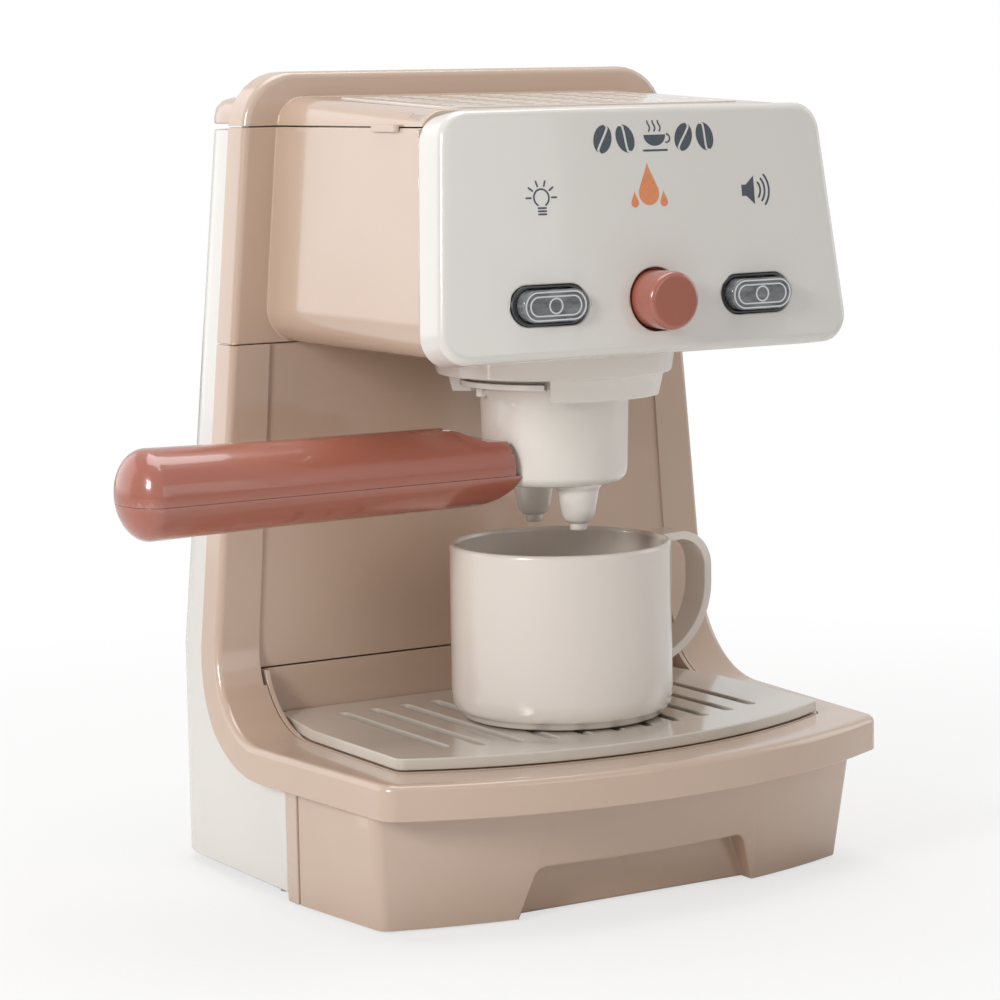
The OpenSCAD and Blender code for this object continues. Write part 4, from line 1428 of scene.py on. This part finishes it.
@dataclass
class Works(Assembly):
    """What the body holds inside, and its fasteners."""

    spring_back: float = -52.2 * MM
    spring_long: float = 13.7 * MM
    spring_given: float = 6.2 * MM

    def spring(self) -> None:
        """Make the pump's spring as a smooth-shaded copy that rides with the housing."""
        coil = bpy.data.objects.new("pump_coil", frame["nodes"]["pump_spring"].data.copy())
        bpy.context.scene.collection.objects.link(coil)
        coil.data.polygons.foreach_set("use_smooth", [True] * len(coil.data.polygons))
        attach(coil, "housing")
        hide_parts("pump_spring")
        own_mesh(coil)
        self.add(coil, Look.STEEL)

    def build(self) -> None:
        """Dress the inner pieces."""
        self.dress(["lid_pin", "rear_screws", "base_screws", "board_screws"], Look.STEEL)
        self.dress(["pump_piston", "contact_springs", "contact_plates"], Look.STEEL)
        self.spring()
        self.dress(["battery_1", "battery_2", "battery_3"], Look.CELL)
        self.dress(["speaker"], Look.DARK)
        self.dress(["pump_cylinder", "water_tank"], Look.CLEAR)
        self.dress(["inlet_hose", "outlet_hose"], Look.HOSE)
        self.dress(["spout_fitting"], Look.WHITE)
        self.dress(["power_lead"], Look.RED_LEAD)
        self.dress(["speaker_lead"], Look.DARK_LEAD)


# ---------------------------------------------------------------- studio


@dataclass(frozen=True)
class Lamp:
    """A soft panel of light that faces a point."""

    name: str
    place: tuple[float, float, float]
    size: Point
    watts: float

    def build(self, aim: Vector) -> None:
        """Make the lamp and turn it to its aim.

        Args:
            aim: The point that it faces.
        """
        light = bpy.data.lights.new(self.name, "AREA")
        light.shape = "RECTANGLE"
        light.size, light.size_y = self.size
        light.energy = self.watts
        lamp = bpy.data.objects.new(self.name, light)
        lamp.location = self.place
        lamp.rotation_euler = (aim - lamp.location).to_track_quat("-Z", "Y").to_euler()
        bpy.context.scene.collection.objects.link(lamp)


@dataclass
class Studio:
    """The floor, the light and the camera."""

    eye: tuple[float, float, float] = (-0.54568, -0.87395, 0.25357)
    turn: float = 31.433
    dip: float = 7.472
    roll: float = 0.956
    lens: float = 117.306
    floor_size: float = 6.0
    floor_drop: float = 0.2 * MM
    fade: Point = (0.16, 0.5)
    shown: Point = (0.66, 1.0)
    world: float = 0.26
    mirror: float = 0.75
    aim: Vector = field(default_factory=lambda: Vector((0.0, 0.0, 0.13)))
    lamps: tuple[Lamp, ...] = (
        Lamp("key_panel", (-1.4, -0.5, 0.7), (0.35, 0.45), 11.5),
        Lamp("left_sheet", (-0.85, 1.3, 0.55), (1.6, 1.2), 5.0),
        Lamp("front_panel_light", (0.35, -1.7, 0.55), (0.9, 0.7), 1.8),
        Lamp("right_panel", (1.3, -0.3, 0.5), (0.7, 0.9), 2.4),
        Lamp("top_panel", (0.1, 0.1, 1.5), (1.1, 1.1), 13.0),
    )

    def camera(self) -> None:
        """Place the camera at its turn, dip and roll."""
        data = bpy.data.cameras.new("camera")
        data.lens = self.lens
        data.sensor_width = 36.0
        data.clip_start = 0.01
        data.clip_end = 50.0
        camera = bpy.data.objects.new("camera", data)
        spin = (
            Matrix.Rotation(math.radians(-self.turn), 4, "Z")
            @ Matrix.Rotation(math.radians(90 - self.dip), 4, "X")
            @ Matrix.Rotation(math.radians(-self.roll), 4, "Z")
        )
        camera.matrix_world = Matrix.Translation(self.eye) @ spin
        bpy.context.scene.collection.objects.link(camera)
        bpy.context.scene.camera = camera

    def floor(self) -> None:
        """Lay a pale floor that shows white but keeps the shadow."""
        form = bmesh.new()
        bmesh.ops.create_grid(form, x_segments=4, y_segments=4, size=self.floor_size / 2)
        plane = Shop.object_of("studio_floor", form)
        plane.location.z = -self.floor_drop
        graph = Graph("floor_paper")
        tone = graph.noise(0.4, 2.0).span(0.3, 0.7)
        away = graph.node(
            "ShaderNodeVectorMath", {"operation": "LENGTH"}, {0: graph.place()}, out="Value"
        )
        paper = graph.node("ShaderNodeBsdfDiffuse", None, {
            "Color": graph.blend(tone, (0.84, 0.83, 0.82, 1.0), (0.87, 0.86, 0.85, 1.0)),
        })
        white = graph.node("ShaderNodeEmission", None, {"Color": (1, 1, 1, 1), "Strength": 1.0})
        seen = graph.node("ShaderNodeLightPath", out="Is Camera Ray")
        share = away.span(*self.fade, *self.shown)
        mixed = graph.node("ShaderNodeMixShader", None, {0: seen * share, 1: paper, 2: white})
        plane.data.materials.append(graph.close(mixed))

    def sky(self) -> None:
        """Surround the scene with even light that shows white, also in clear and glossy pieces."""
        graph = Graph("studio_world", world=True)
        camera, clear, glossy = (
            graph.node("ShaderNodeLightPath", out=f"Is {kind} Ray")
            for kind in ("Camera", "Transmission", "Glossy")
        )
        power = (camera + clear) * (1 - self.world) + glossy * (self.mirror - self.world) + self.world
        bpy.context.scene.world = graph.close(
            graph.node("ShaderNodeBackground", None, {"Color": (1, 1, 1, 1), "Strength": power})
        )

    def build(self) -> None:
        """Set up the studio."""
        bpy.context.scene.view_settings.view_transform = "Standard"
        self.camera()
        self.floor()
        self.sky()
        for lamp in self.lamps:
            lamp.build(self.aim)


def main() -> None:
    """Build the studio and every sub-assembly in order."""
    logging.basicConfig(level=logging.INFO, format="%(message)s")
    Studio().build()
    assemblies = [Shells(), Tray(), Brewer(), Mug(), Panel(), Controls(), Works()]
    for assembly in assemblies:
        LOG.info("-- %s", type(assembly).__name__)
        assembly.build()


if __name__ == "__main__":
    main()
